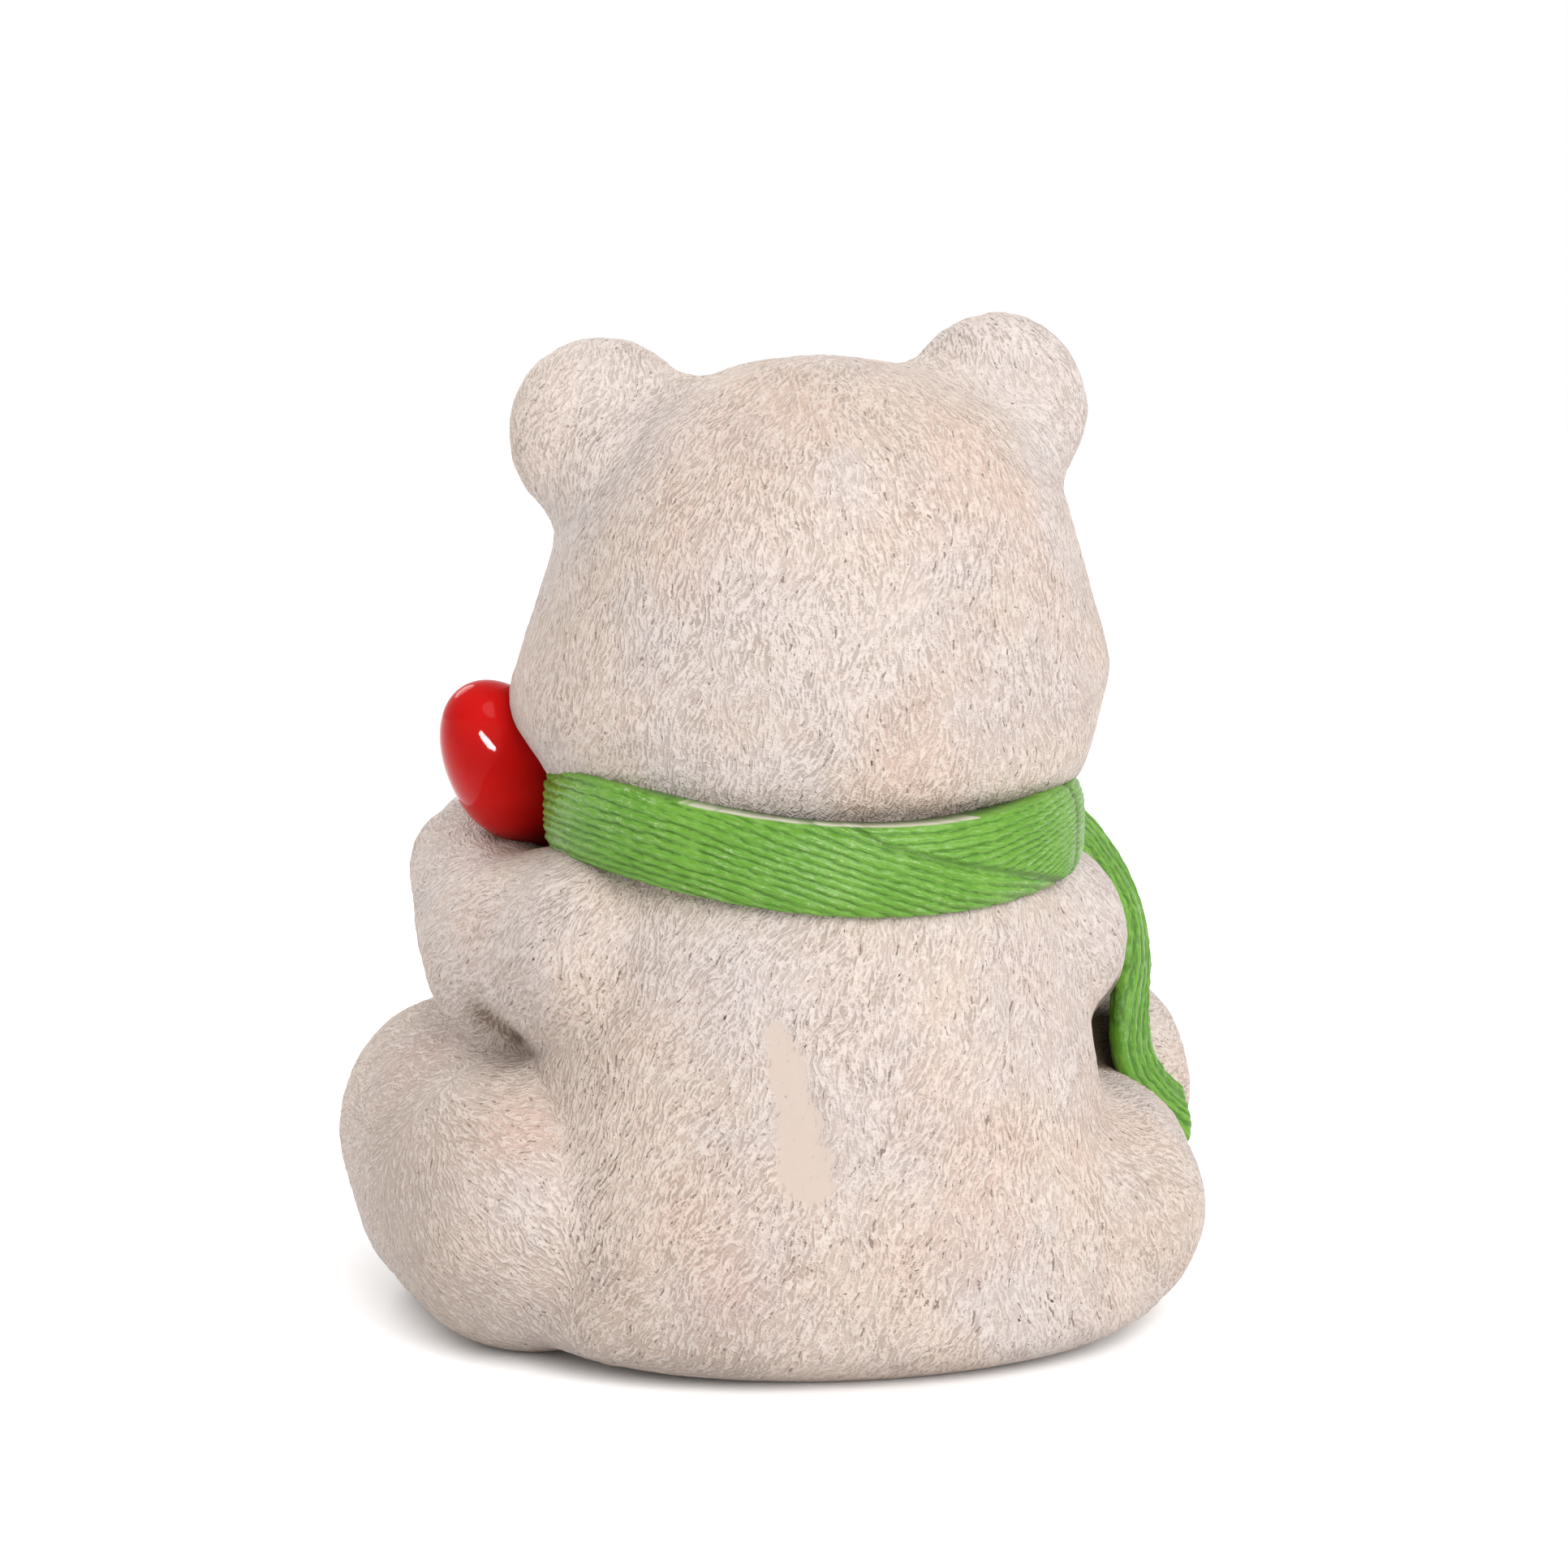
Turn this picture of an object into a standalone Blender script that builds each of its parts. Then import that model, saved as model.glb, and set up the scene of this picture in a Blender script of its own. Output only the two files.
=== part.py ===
"""Seated polar bear cub, a cast resin figurine with a large light bulb held against its cheek.

The bear faces -Y and its left side is at +X. It is one casting: body, limbs, head, ears and the
ribbed scarf, which is cast on and only painted green. The bulb is a separate piece in a seat cut to fit it.
"""

import math

import bmesh
import bpy
from mathutils import Euler, Matrix, Vector

# Driving dimensions, in metres
HEIGHT = 0.300                # ground to the top of the higher ear
BULB_DIAMETER = 0.038         # widest part of the glass
GLASS_LENGTH = 0.074          # tip of the glass to the collar
COLLAR_DIAMETER = 0.026       # threaded collar, over the threads
COLLAR_LENGTH = 0.022
COLLAR_THREADS = 3
THREAD_DEPTH = 0.0012
SEAT_CLEARANCE = 0.0003       # between the bulb and the resin that holds it

# Pose and proportions are shares of the height, on a grid of 300 steps from ground to ear top
GRID = HEIGHT / 300
VOXEL = 2.4 * GRID            # grain of the fused clay
FILLET_ROUNDS = 14            # smoothing passes that round the creases
CLAY_SHARE = 0.0262           # share of the fused faces that is kept
ORIGIN_X = -4                 # grid lines that cross over the origin
ORIGIN_Y = -20

HEAD_PIVOT = (-3.5, 6, 196)
HEAD_ROLL = 3.2               # degrees, towards the bear's left
MUZZLE = ((-3.5, -68, 195), (31, 30, 21))    # centre and radii

BULB_TIP = (99, 2, 189.8)
BULB_FOOT = (60, -63, 131)    # a point on the axis, down at the paws

# Scarf, on the grid
NECK_CENTRE = (-0.5, 12)
NECK_RADII = (78.5, 72)       # outside of the turn around the neck
SCARF_DEPTH = 19
TURN_RIBS = 8
END_RIBS = 6
RIB_DEPTH = 1.1
END_THICKNESS = 6.0
KNOT_ANGLE = 244              # round the neck from the back, by the bear's left
KNOT_RIBS = 5
KNOT_HALF_WIDTH = 10
KNOT_RADII = (13, 17)         # outward and upward
GROOVE_RADIUS = 1.6           # mouth lines, on the grid

# Feet and paws, on the grid
FOOT_MIDDLE = 84
TOE_PITCH = 16.5
TOE_DROP = 0.42               # how fast the outer toes come lower
PAD_PITCH = 14.5
CREASE_HALF_WIDTH = 1.5


def clear_scene():
    for old in list(bpy.data.objects):
        bpy.data.objects.remove(old, do_unlink=True)


def new_collection(name):
    group = bpy.data.collections.new(name)
    bpy.context.scene.collection.children.link(group)
    return group


def paint(name, colour, roughness, metallic=0.0, coat=0.0):
    material = bpy.data.materials.new(name)
    material.use_nodes = True
    shader = material.node_tree.nodes["Principled BSDF"]
    shader.inputs["Base Color"].default_value = (*colour, 1.0)
    shader.inputs["Roughness"].default_value = roughness
    shader.inputs["Metallic"].default_value = metallic
    shader.inputs["Coat Weight"].default_value = coat
    material.diffuse_color = (*colour, 1.0)
    return material


def on_grid(point):
    """A point of the pose grid, in metres, with the origin under the middle of the base."""
    return Vector(((point[0] - ORIGIN_X) * GRID, (point[1] - ORIGIN_Y) * GRID, point[2] * GRID))


def object_from(bm, name, group, material=None):
    mesh = bpy.data.meshes.new(name)
    bm.to_mesh(mesh)
    bm.free()
    piece = bpy.data.objects.new(name, mesh)
    group.objects.link(piece)
    if material:
        mesh.materials.append(material)
    return piece


def hide_as_guide(guide):
    guide.hide_render = True
    guide.display_type = "WIRE"


def add_ball(clay, centre, radii, turn=(0, 0, 0), detail=4):
    """An ellipsoid of clay: centre and radii on the grid, turn in degrees."""
    spin = Euler([math.radians(angle) for angle in turn]).to_matrix().to_4x4()
    size = Matrix.Diagonal((radii[0] * GRID, radii[1] * GRID, radii[2] * GRID, 1.0))
    place = Matrix.Translation(on_grid(centre)) @ spin @ size
    bmesh.ops.create_icosphere(clay, subdivisions=detail, radius=1.0, matrix=place)


def add_hull(clay, *parts):
    """A smooth mass: the hull around some ellipsoids, each given as (centre, radii)."""
    balls = bmesh.new()
    for centre, radii in parts:
        add_ball(balls, centre, radii)
    hull = bmesh.new()
    for vert in balls.verts:
        hull.verts.new(vert.co)
    balls.free()
    bmesh.ops.convex_hull(hull, input=hull.verts)
    inside = [vert for vert in hull.verts if not vert.link_faces]
    bmesh.ops.delete(hull, geom=inside, context="VERTS")
    mesh = bpy.data.meshes.new("hull")
    hull.to_mesh(mesh)
    hull.free()
    clay.from_mesh(mesh)
    bpy.data.meshes.remove(mesh)


def add_limb(clay, start, start_radius, end, end_radius):
    """A tapered limb: the hull around a ball at each end."""
    add_hull(clay, (start, [start_radius] * 3), (end, [end_radius] * 3))


def roll_head(clay, first):
    """Tip everything added since vert number `first` about the neck."""
    clay.verts.ensure_lookup_table()
    verts = clay.verts[first:]
    roll = Matrix.Rotation(math.radians(HEAD_ROLL), 3, "Y")
    bmesh.ops.rotate(clay, cent=on_grid(HEAD_PIVOT), matrix=roll, verts=verts)


def model_torso(clay):
    hips = ((1, 30, 46), (88, 62, 50))
    seat = ((-6, 28, 14), (98, 62, 20))
    waist = ((-1, 28, 84), (75, 62, 44))
    shoulders = ((-1, 20, 122), (76, 62, 42))
    add_hull(clay, hips, waist, shoulders)
    add_hull(clay, hips, seat)
    add_ball(clay, (0, -8, 74), (66, 58, 58))        # belly
    add_hull(clay, ((-1, 8, 150), (70, 62, 24)), ((-1, 12, 136), (72, 64, 24)))    # neck, in the scarf


def model_legs(clay):
    # The left haunch stands off the back, with a soft valley between them
    haunch = ((82, 4, 44), (46, 56, 44))
    haunch_low = ((82, 3, 23), (38, 46, 26))
    knee = ((92, -58, 50), (41.5, 42, 43))
    knee_low = ((93, -50, 26), (35, 43, 27))
    add_hull(clay, haunch, haunch_low, knee, knee_low)
    # The right haunch runs into the back, and lies lower than the knee in front of it
    haunch = ((-80, 12, 35), (40, 50, 38))
    haunch_low = ((-78, 8, 20), (36, 46, 23))
    knee = ((-98, -60, 55), (42, 41, 43))
    knee_low = ((-91, -54, 20), (31, 40, 23))
    add_hull(clay, haunch, haunch_low, knee_low, ((-91, -40, 38), (40, 40, 34)))
    add_hull(clay, ((-88, -40, 40), (36, 36, 36)), knee, knee_low)
    add_hull(clay, haunch, haunch_low, ((-20, 36, 42), (60, 54, 46)))
    for side in (1, -1):
        add_limb(clay, (side * 90, -66, 42), 38, (side * 82, -100, 30), 29)    # shin
        heel = ((side * 82, -106, 24), (28, 20, 25))
        ball_of_foot = ((side * 84, -112, 50), (33, 16, 27))
        add_hull(clay, heel, ball_of_foot)
        for toe in range(4):
            lean = (toe - 1.5) * TOE_PITCH
            add_ball(clay, (side * FOOT_MIDDLE + lean, -118, 71 - abs(lean) * TOE_DROP), (9.5, 11, 11))


def model_arms(clay):
    # The bulb lies in the crook of the left arm, whose paw closes around its foot
    add_hull(clay, ((64, 22, 118), (30, 32, 32)), ((83, -8, 113), (30, 32, 30)))
    add_limb(clay, (86, -18, 116), 27, (90, -60, 131), 21)
    add_ball(clay, (84, -71, 136), (19, 17, 20))
    for finger in range(4):
        add_ball(clay, (70, -81, 123 + finger * 9), (13, 8, 6), (0, 0, 20))
    # The right arm crosses the belly, and its paw lies against the other one, under the bulb
    add_hull(clay, ((-64, 22, 118), (29, 30, 30)), ((-80, -24, 109), (27, 28, 28)))
    add_limb(clay, (-74, -28, 104), 25, (6, -75, 104), 20)
    add_ball(clay, (30, -77, 111), (23, 18, 19))
    for finger in range(4):
        add_ball(clay, (45, -85, 98 + finger * 8.5), (14, 8.5, 6), (0, 0, -8))


def part_fingers_and_toes(group):
    """Thin lenses whose edges cut the creases between fingers and between toes."""
    lenses = bmesh.new()
    for gap in range(3):
        add_ball(lenses, (68, -88.5, 127.5 + gap * 9), (16, 5, CREASE_HALF_WIDTH), (0, 0, 20), detail=2)
        add_ball(lenses, (45, -93.5, 102 + gap * 8.5), (16, 5, CREASE_HALF_WIDTH), (0, 0, -8), detail=2)
        lean = (gap - 1) * TOE_PITCH
        for side in (1, -1):
            place = (side * FOOT_MIDDLE + lean, -128.5, 81.5 - abs(lean) * TOE_DROP)
            add_ball(lenses, place, (CREASE_HALF_WIDTH, 10, 10), detail=2)
    guide = object_from(lenses, "finger_and_toe_creases", group)
    hide_as_guide(guide)
    return guide


def model_head(clay):
    first = len(clay.verts)
    middle = HEAD_PIVOT[0]
    skull = ((middle, 10, 228.5), (77, 68, 60.5))
    jowls = ((middle + 2, 5, 193), (90, 68, 36))
    nape = ((middle, 8, 168), (79, 65, 23))
    add_hull(clay, skull, jowls, nape)
    for side in (1, -1):
        add_ball(clay, (middle + side * 59, 2, 269.5), (28.2, 16, 29))      # ear
        add_ball(clay, (middle + side * 50, 5, 254), (28, 26, 27))          # ear root
        add_ball(clay, (middle + side * 38, 5, 262), (24, 24, 24))
        add_ball(clay, (middle + side * 27, -45, 233), (15, 13, 9), (0, side * 12, 0))    # brow
        add_ball(clay, (middle + side * 34, -40, 192), (30, 26, 25))        # cheek
    add_hull(clay, ((middle, -40, 214), (22, 24, 20)), ((middle, -78, 204), (17, 18, 15)))
    add_ball(clay, *MUZZLE)
    add_ball(clay, (middle, -78, 183), (17, 16, 12))     # chin
    roll_head(clay, first)


def clay_scoops(group):
    """Hollows pressed in the front of the ears."""
    scoops = bmesh.new()
    for side in (1, -1):
        add_ball(scoops, (HEAD_PIVOT[0] + side * 61, -16, 270), (18, 11, 19))
    roll_head(scoops, 0)
    guide = object_from(scoops, "ear_scoops", group)
    hide_as_guide(guide)
    return guide


def join_rings(bm, rings, closed):
    """Skin between rings of points; an open row of rings gets a face at each end."""
    rings = [[bm.verts.new(on_grid(point)) for point in ring] for ring in rings]
    count = len(rings[0])
    last = len(rings) if closed else len(rings) - 1
    for index in range(last):
        ring = rings[index]
        following = rings[(index + 1) % len(rings)]
        for step in range(count):
            nxt = (step + 1) % count
            bm.faces.new((ring[step], ring[nxt], following[nxt], following[step]))
    if not closed:
        bm.faces.new(rings[0][::-1])
        bm.faces.new(rings[-1])
    bmesh.ops.recalc_face_normals(bm, faces=bm.faces)


def rib_profile(ribs):
    """Steps across a ribbed band: (share from -1 to 1, fullness, height of the rib)."""
    profile = []
    for step in range(ribs * 2 + 1):
        share = step / ribs - 1
        profile.append((share, 1 - 0.35 * share ** 4, RIB_DEPTH if step % 2 else 0.0))
    return profile


def ribbed_loft(bm, sections, ribs, closed):
    """A strip, ribbed on its outer face: sections of (middle, across, facing, half width, thickness)."""
    rings = []
    for middle, across, facing, half_width, thickness in sections:
        ring = []
        for share, fullness, rib in rib_profile(ribs):
            ring.append(middle + across * (share * half_width) + facing * (thickness / 2 * fullness + rib))
        back = facing * (thickness / 2)
        ring += [middle + across * half_width - back, middle - across * half_width - back]
        rings.append(ring)
    join_rings(bm, rings, closed)


def neck_ring(angle):
    """A point and the outward direction on the scarf's ring; 0 is the back, 90 the bear's left."""
    turn = math.radians(angle)
    wide, deep = NECK_RADII
    point = Vector((NECK_CENTRE[0] + wide * math.sin(turn), NECK_CENTRE[1] + deep * math.cos(turn), 0))
    outward = Vector((math.sin(turn) / wide, math.cos(turn) / deep, 0)).normalized()
    return point, outward


def scarf_top(angle):
    turn = math.radians(angle)
    return 162.5 + 3.5 * math.cos(turn) + 2.5 * math.sin(turn) - 6.0 * math.cos(2 * turn)


def scarf_low(angle):
    turn = math.radians(angle)
    return 135.5 + 5.0 * math.cos(turn) + 3.5 * math.sin(turn) - 6.0 * math.cos(2 * turn)


def scarf_band(group):
    """The scarf's turn around the neck."""
    sections = []
    for step in range(40):
        angle = step * 9
        point, outward = neck_ring(angle)
        top = scarf_top(angle)
        low = scarf_low(angle)
        middle = point - outward * SCARF_DEPTH / 2 + Vector((0, 0, (top + low) / 2))
        sections.append((middle, Vector((0, 0, 1)), outward, (top - low) / 2, SCARF_DEPTH))
    bm = bmesh.new()
    ribbed_loft(bm, sections, TURN_RIBS, closed=True)
    guide = object_from(bm, "scarf_band", group)
    hide_as_guide(guide)
    return guide


def smooth_route(points, steps):
    """A Catmull-Rom curve through rows of numbers, `steps` to each span."""
    rows = [Vector(row) for row in points]
    rows = [rows[0] * 2 - rows[1]] + rows + [rows[-1] * 2 - rows[-2]]
    route = []
    for first in range(len(rows) - 3):
        p0, p1, p2, p3 = rows[first:first + 4]
        for step in range(steps):
            t = step / steps
            route.append(0.5 * (2 * p1 + (p2 - p0) * t + (2 * p0 - 5 * p1 + 4 * p2 - p3) * t ** 2
                                + (3 * p1 - p0 - 3 * p2 + p3) * t ** 3))
    route.append(rows[-2])
    return route


def scarf_end(name, route, facings, widths, group):
    """A hanging end: route, outward facings and half widths at the same points."""
    path = smooth_route(route, 2)
    faces = smooth_route(facings, 2)
    halves = smooth_route([(width, 0, 0) for width in widths], 2)
    sections = []
    for index, middle in enumerate(path):
        before = path[max(index - 1, 0)]
        after = path[min(index + 1, len(path) - 1)]
        along = (after - before).normalized()
        facing = (faces[index] - along * faces[index].dot(along)).normalized()
        across = facing.cross(along)
        sections.append((middle, across, facing, halves[index][0], END_THICKNESS))
    bm = bmesh.new()
    ribbed_loft(bm, sections, END_RIBS, closed=False)
    guide = object_from(bm, name, group)
    hide_as_guide(guide)
    return guide


def scarf_tail(group):
    """The long end, over the right arm and down to the thigh."""
    route = [(-73, -12, 152), (-85, -17, 147), (-97.5, -22, 135), (-107.5, -24, 119), (-110, -22, 103),
             (-108, -19, 86), (-109, -17, 72), (-116, -18, 61), (-126, -21, 52)]
    facings = [(-0.6, 0.3, 0.8), (-0.7, 0.4, 0.6), (-0.85, 0.4, 0.3), (-0.9, 0.4, 0.1), (-0.85, 0.5, 0),
               (-0.78, 0.6, 0), (-0.7, 0.6, 0.3), (-0.5, 0.5, 0.7), (-0.4, 0.45, 0.8)]
    widths = [9, 11, 12, 12, 11.5, 11, 11, 12, 13.5]
    return scarf_end("scarf_tail", route, facings, widths, group)


def scarf_short_end(group):
    """The short end, from the knot down over the front of the right arm."""
    route = [(-66, -22, 142), (-69, -39, 134), (-68, -56, 124), (-64, -68, 110), (-61, -72, 95)]
    facings = [(-0.6, -0.5, 0.6), (-0.6, -0.6, 0.6), (-0.5, -0.7, 0.6), (-0.5, -0.9, 0.3), (-0.5, -0.9, 0)]
    widths = [7, 9, 11, 12, 12.5]
    return scarf_end("scarf_short_end", route, facings, widths, group)


def scarf_knot(group):
    """The wrap around the band that holds the two ends: a ribbed barrel."""
    place, outward = neck_ring(KNOT_ANGLE)
    up = Vector((0, 0, 1))
    heart = place - outward * 4 + up * (scarf_top(KNOT_ANGLE) + scarf_low(KNOT_ANGLE)) / 2
    along = outward.cross(up)
    rings = []
    for share, _, rib in rib_profile(KNOT_RIBS):
        fullness = math.sqrt(1 - 0.9 * share ** 4)
        out_radius, up_radius = [radius * fullness + rib for radius in KNOT_RADII]
        ring = []
        for step in range(14):
            turn = math.tau * step / 14
            rim = outward * (out_radius * math.cos(turn)) + up * (up_radius * math.sin(turn))
            ring.append(heart + along * (share * KNOT_HALF_WIDTH) + rim)
        rings.append(ring)
    bm = bmesh.new()
    join_rings(bm, rings, closed=False)
    guide = object_from(bm, "scarf_knot", group)
    hide_as_guide(guide)
    return guide


def bulb_axis():
    tip = on_grid(BULB_TIP)
    down = (on_grid(BULB_FOOT) - tip).normalized()
    return tip, down


def bulb_profile(extra=0.0):
    """Outline of the bulb as (radius, distance from the tip), grown by `extra` all round."""
    radius = BULB_DIAMETER / 2
    neck = COLLAR_DIAMETER / 2 - THREAD_DEPTH
    widest = 0.56 * GLASS_LENGTH
    outline = [(0.0, -extra)]
    for step in range(1, 9):
        angle = math.radians(90 * step / 8)
        blunt = math.sin(angle) ** 0.92
        outline.append((radius * blunt + extra, widest * (1 - math.cos(angle)) - extra * math.cos(angle)))
    for step in range(1, 6):
        share = step / 5
        ease = share * share * (3 - 2 * share)
        outline.append((radius + (neck - radius) * ease + extra, widest + (GLASS_LENGTH - widest) * share))
    return outline


def turned(name, outline, sides, group, material=None):
    """A solid turned about the bulb's axis from (radius, depth) pairs, tip first."""
    mesh = bpy.data.meshes.new(name)
    verts = [(radius, 0.0, -depth) for radius, depth in outline]
    mesh.from_pydata(verts, [(i, i + 1) for i in range(len(verts) - 1)], [])
    piece = bpy.data.objects.new(name, mesh)
    group.objects.link(piece)
    screw = piece.modifiers.new("turn", "SCREW")
    screw.axis = "Z"
    screw.steps = sides
    screw.render_steps = sides
    screw.use_merge_vertices = True
    screw.merge_threshold = 0.00001
    tip, down = bulb_axis()
    piece.location = tip
    piece.rotation_mode = "QUATERNION"
    piece.rotation_quaternion = (-down).to_track_quat("Z", "Y")
    if material:
        mesh.materials.append(material)
    return piece


def light_bulb(group, material):
    """Glass envelope and threaded collar, turned in one."""
    outline = bulb_profile()
    crest = COLLAR_DIAMETER / 2
    root = crest - THREAD_DEPTH
    pitch = COLLAR_LENGTH / (COLLAR_THREADS + 1)
    for thread in range(COLLAR_THREADS):
        top = GLASS_LENGTH + pitch * thread
        outline.append((crest, top + pitch * 0.5))
        outline.append((root, top + pitch))
    outline.append((root, GLASS_LENGTH + COLLAR_LENGTH))
    outline.append((0.0, GLASS_LENGTH + COLLAR_LENGTH))
    bulb = turned("light_bulb", outline, 20, group, material)
    bulb.data.shade_smooth()
    return bulb


def bulb_seat(group):
    """The hollow that the bulb sits in."""
    bore = COLLAR_DIAMETER / 2 + SEAT_CLEARANCE
    end = GLASS_LENGTH + COLLAR_LENGTH + SEAT_CLEARANCE
    outline = []
    for radius, depth in bulb_profile(SEAT_CLEARANCE):
        past_widest = depth > GLASS_LENGTH / 2
        outline.append((max(radius, bore) if past_widest else radius, depth))
    outline += [(bore, end), (0.0, end)]
    guide = turned("bulb_seat", outline, 20, group)
    hide_as_guide(guide)
    return guide


def ground_block(group):
    """Cuts the underside flat."""
    bm = bmesh.new()
    size = 2 * HEIGHT
    place = Matrix.Translation((0, 0, -size / 2)) @ Matrix.Scale(size, 4)
    bmesh.ops.create_cube(bm, size=1.0, matrix=place)
    guide = object_from(bm, "ground_block", group)
    hide_as_guide(guide)
    return guide


def face_details(group):
    """Eyes and nose, raised on the casting."""
    bm = bmesh.new()
    middle = HEAD_PIVOT[0]
    for side in (1, -1):
        add_ball(bm, (middle + side * 29, -58.5, 222), (7.5, 5.5, 8), detail=2)
    add_ball(bm, (middle, -95, 206), (13, 8, 9), detail=2)
    roll_head(bm, 0)
    guide = object_from(bm, "face_details", group)
    hide_as_guide(guide)
    return guide


def on_muzzle(across, drop):
    """A point on the muzzle, by two angles in degrees from straight ahead."""
    centre, radii = MUZZLE
    side = math.radians(across)
    down = math.radians(drop)
    ahead = Vector((math.sin(side) * math.cos(down), -math.cos(side) * math.cos(down), -math.sin(down)))
    return Vector(centre) + Vector([part * radius for part, radius in zip(ahead, radii)])


def groove(name, route, group):
    """A round-bottomed line pressed into the face, along points on the grid."""
    curve = bpy.data.curves.new(name, "CURVE")
    curve.dimensions = "3D"
    curve.bevel_depth = GROOVE_RADIUS * GRID
    curve.bevel_resolution = 1
    curve.use_fill_caps = True
    line = curve.splines.new("POLY")
    line.points.add(len(route) - 1)
    for point, spot in zip(line.points, route):
        point.co = (*on_grid(spot), 1.0)
    wire = bpy.data.objects.new(name + "_wire", curve)
    group.objects.link(wire)
    graph = bpy.context.evaluated_depsgraph_get()
    mesh = bpy.data.meshes.new_from_object(wire.evaluated_get(graph))
    bpy.data.objects.remove(wire)
    tube = bmesh.new()
    tube.from_mesh(mesh)
    bpy.data.meshes.remove(mesh)
    bmesh.ops.remove_doubles(tube, verts=tube.verts, dist=0.00001)
    bmesh.ops.recalc_face_normals(tube, faces=tube.faces)
    roll_head(tube, 0)
    guide = object_from(tube, name, group)
    hide_as_guide(guide)
    return guide


def mouth_lines(group):
    """The line of the mouth, and the one that joins it to the nose."""
    smile = [on_muzzle(angle, 34 - 16 * (abs(angle) / 48) ** 1.6) for angle in range(-48, 49, 12)]
    parting = [on_muzzle(0, drop) for drop in (4, 14, 24, 33)]
    return [groove("smile", smile, group), groove("parting", parting, group)]


def sole_pads(group):
    """Raised pads under the hind feet."""
    bm = bmesh.new()
    for side in (1, -1):
        add_ball(bm, (side * 83, -125, 32), (18, 4.2, 16), detail=2)
        for toe in range(4):
            lean = (toe - 1.5) * PAD_PITCH
            add_ball(bm, (side * FOOT_MIDDLE + lean, -125, 62 - abs(lean) * TOE_DROP), (5.8, 3.2, 6.2), detail=2)
    guide = object_from(bm, "sole_pads", group)
    hide_as_guide(guide)
    return guide


def add_boolean(piece, operation, guide):
    step = piece.modifiers.new(guide.name, "BOOLEAN")
    step.operation = operation
    step.solver = "EXACT"
    step.object = guide


def polar_bear(group, guides, material):
    clay = bmesh.new()
    model_torso(clay)
    model_legs(clay)
    model_arms(clay)
    model_head(clay)
    bear = object_from(clay, "bear", group, material)
    fuse = bear.modifiers.new("fuse", "REMESH")
    fuse.mode = "VOXEL"
    fuse.voxel_size = VOXEL
    add_boolean(bear, "DIFFERENCE", clay_scoops(guides))
    soften = bear.modifiers.new("soften", "SMOOTH")
    soften.factor = 0.5
    soften.iterations = FILLET_ROUNDS
    thin = bear.modifiers.new("thin", "DECIMATE")
    thin.ratio = CLAY_SHARE
    add_boolean(bear, "UNION", scarf_band(guides))
    add_boolean(bear, "UNION", scarf_tail(guides))
    add_boolean(bear, "UNION", scarf_short_end(guides))
    add_boolean(bear, "UNION", scarf_knot(guides))
    add_boolean(bear, "UNION", sole_pads(guides))
    add_boolean(bear, "UNION", face_details(guides))
    for line in mouth_lines(guides):
        add_boolean(bear, "DIFFERENCE", line)
    add_boolean(bear, "DIFFERENCE", part_fingers_and_toes(guides))
    add_boolean(bear, "DIFFERENCE", bulb_seat(guides))
    add_boolean(bear, "DIFFERENCE", ground_block(guides))
    return bear


clear_scene()
figurine = new_collection("lighted_polar_bear")
cutters = new_collection("cutters")
resin = paint("cream_paint", (0.70, 0.60, 0.53), 0.6)
red_glass = paint("red_gloss", (0.55, 0.01, 0.01), 0.12, coat=0.6)
polar_bear(figurine, cutters, resin)
light_bulb(figurine, red_glass)
bpy.context.view_layer.update()
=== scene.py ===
import math

import bmesh
import bpy
import numpy as np
from mathutils import Euler, Matrix, Vector


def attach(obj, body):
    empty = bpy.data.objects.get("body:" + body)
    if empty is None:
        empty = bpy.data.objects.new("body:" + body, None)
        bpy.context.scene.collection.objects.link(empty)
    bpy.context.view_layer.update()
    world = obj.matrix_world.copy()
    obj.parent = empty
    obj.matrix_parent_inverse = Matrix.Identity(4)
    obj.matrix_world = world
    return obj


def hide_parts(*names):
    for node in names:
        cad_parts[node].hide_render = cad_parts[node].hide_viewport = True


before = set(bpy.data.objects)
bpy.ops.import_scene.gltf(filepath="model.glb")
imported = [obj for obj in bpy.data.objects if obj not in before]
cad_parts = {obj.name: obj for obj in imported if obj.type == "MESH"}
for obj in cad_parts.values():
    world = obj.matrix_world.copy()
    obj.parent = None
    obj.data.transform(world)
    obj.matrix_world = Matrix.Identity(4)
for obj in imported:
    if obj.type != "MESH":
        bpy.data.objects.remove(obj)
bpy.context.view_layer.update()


# The bear
# One hollow casting in resin: body, limbs, head and ears. The modeller carved short strokes of fur into
# the clay, and the caster painted it matte cream with a grey-brown wash in the strokes.
HEIGHT = 0.300                  # ground to the top of the higher ear
GRID = HEIGHT / 300             # the pose is laid out on a grid of 300 steps to that height
MIDDLE = np.array([-4, -20, 0])    # grid point on the ground that stands over the origin
CLAY_GRAIN = 2.05 * GRID
FILLET_ROUNDS = 21


def on_grid(point):
    return Vector([(float(c) - float(m)) * GRID for c, m in zip(point, MIDDLE)])


def add_ball(clay, centre, radii, turn=(0, 0, 0), detail=4):
    spin = Euler([math.radians(angle) for angle in turn]).to_matrix().to_4x4()
    size = Matrix.Diagonal((*[radius * GRID for radius in radii], 1.0))
    place = Matrix.Translation(on_grid(centre)) @ spin @ size
    bmesh.ops.create_icosphere(clay, subdivisions=detail, radius=1.0, matrix=place)


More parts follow.
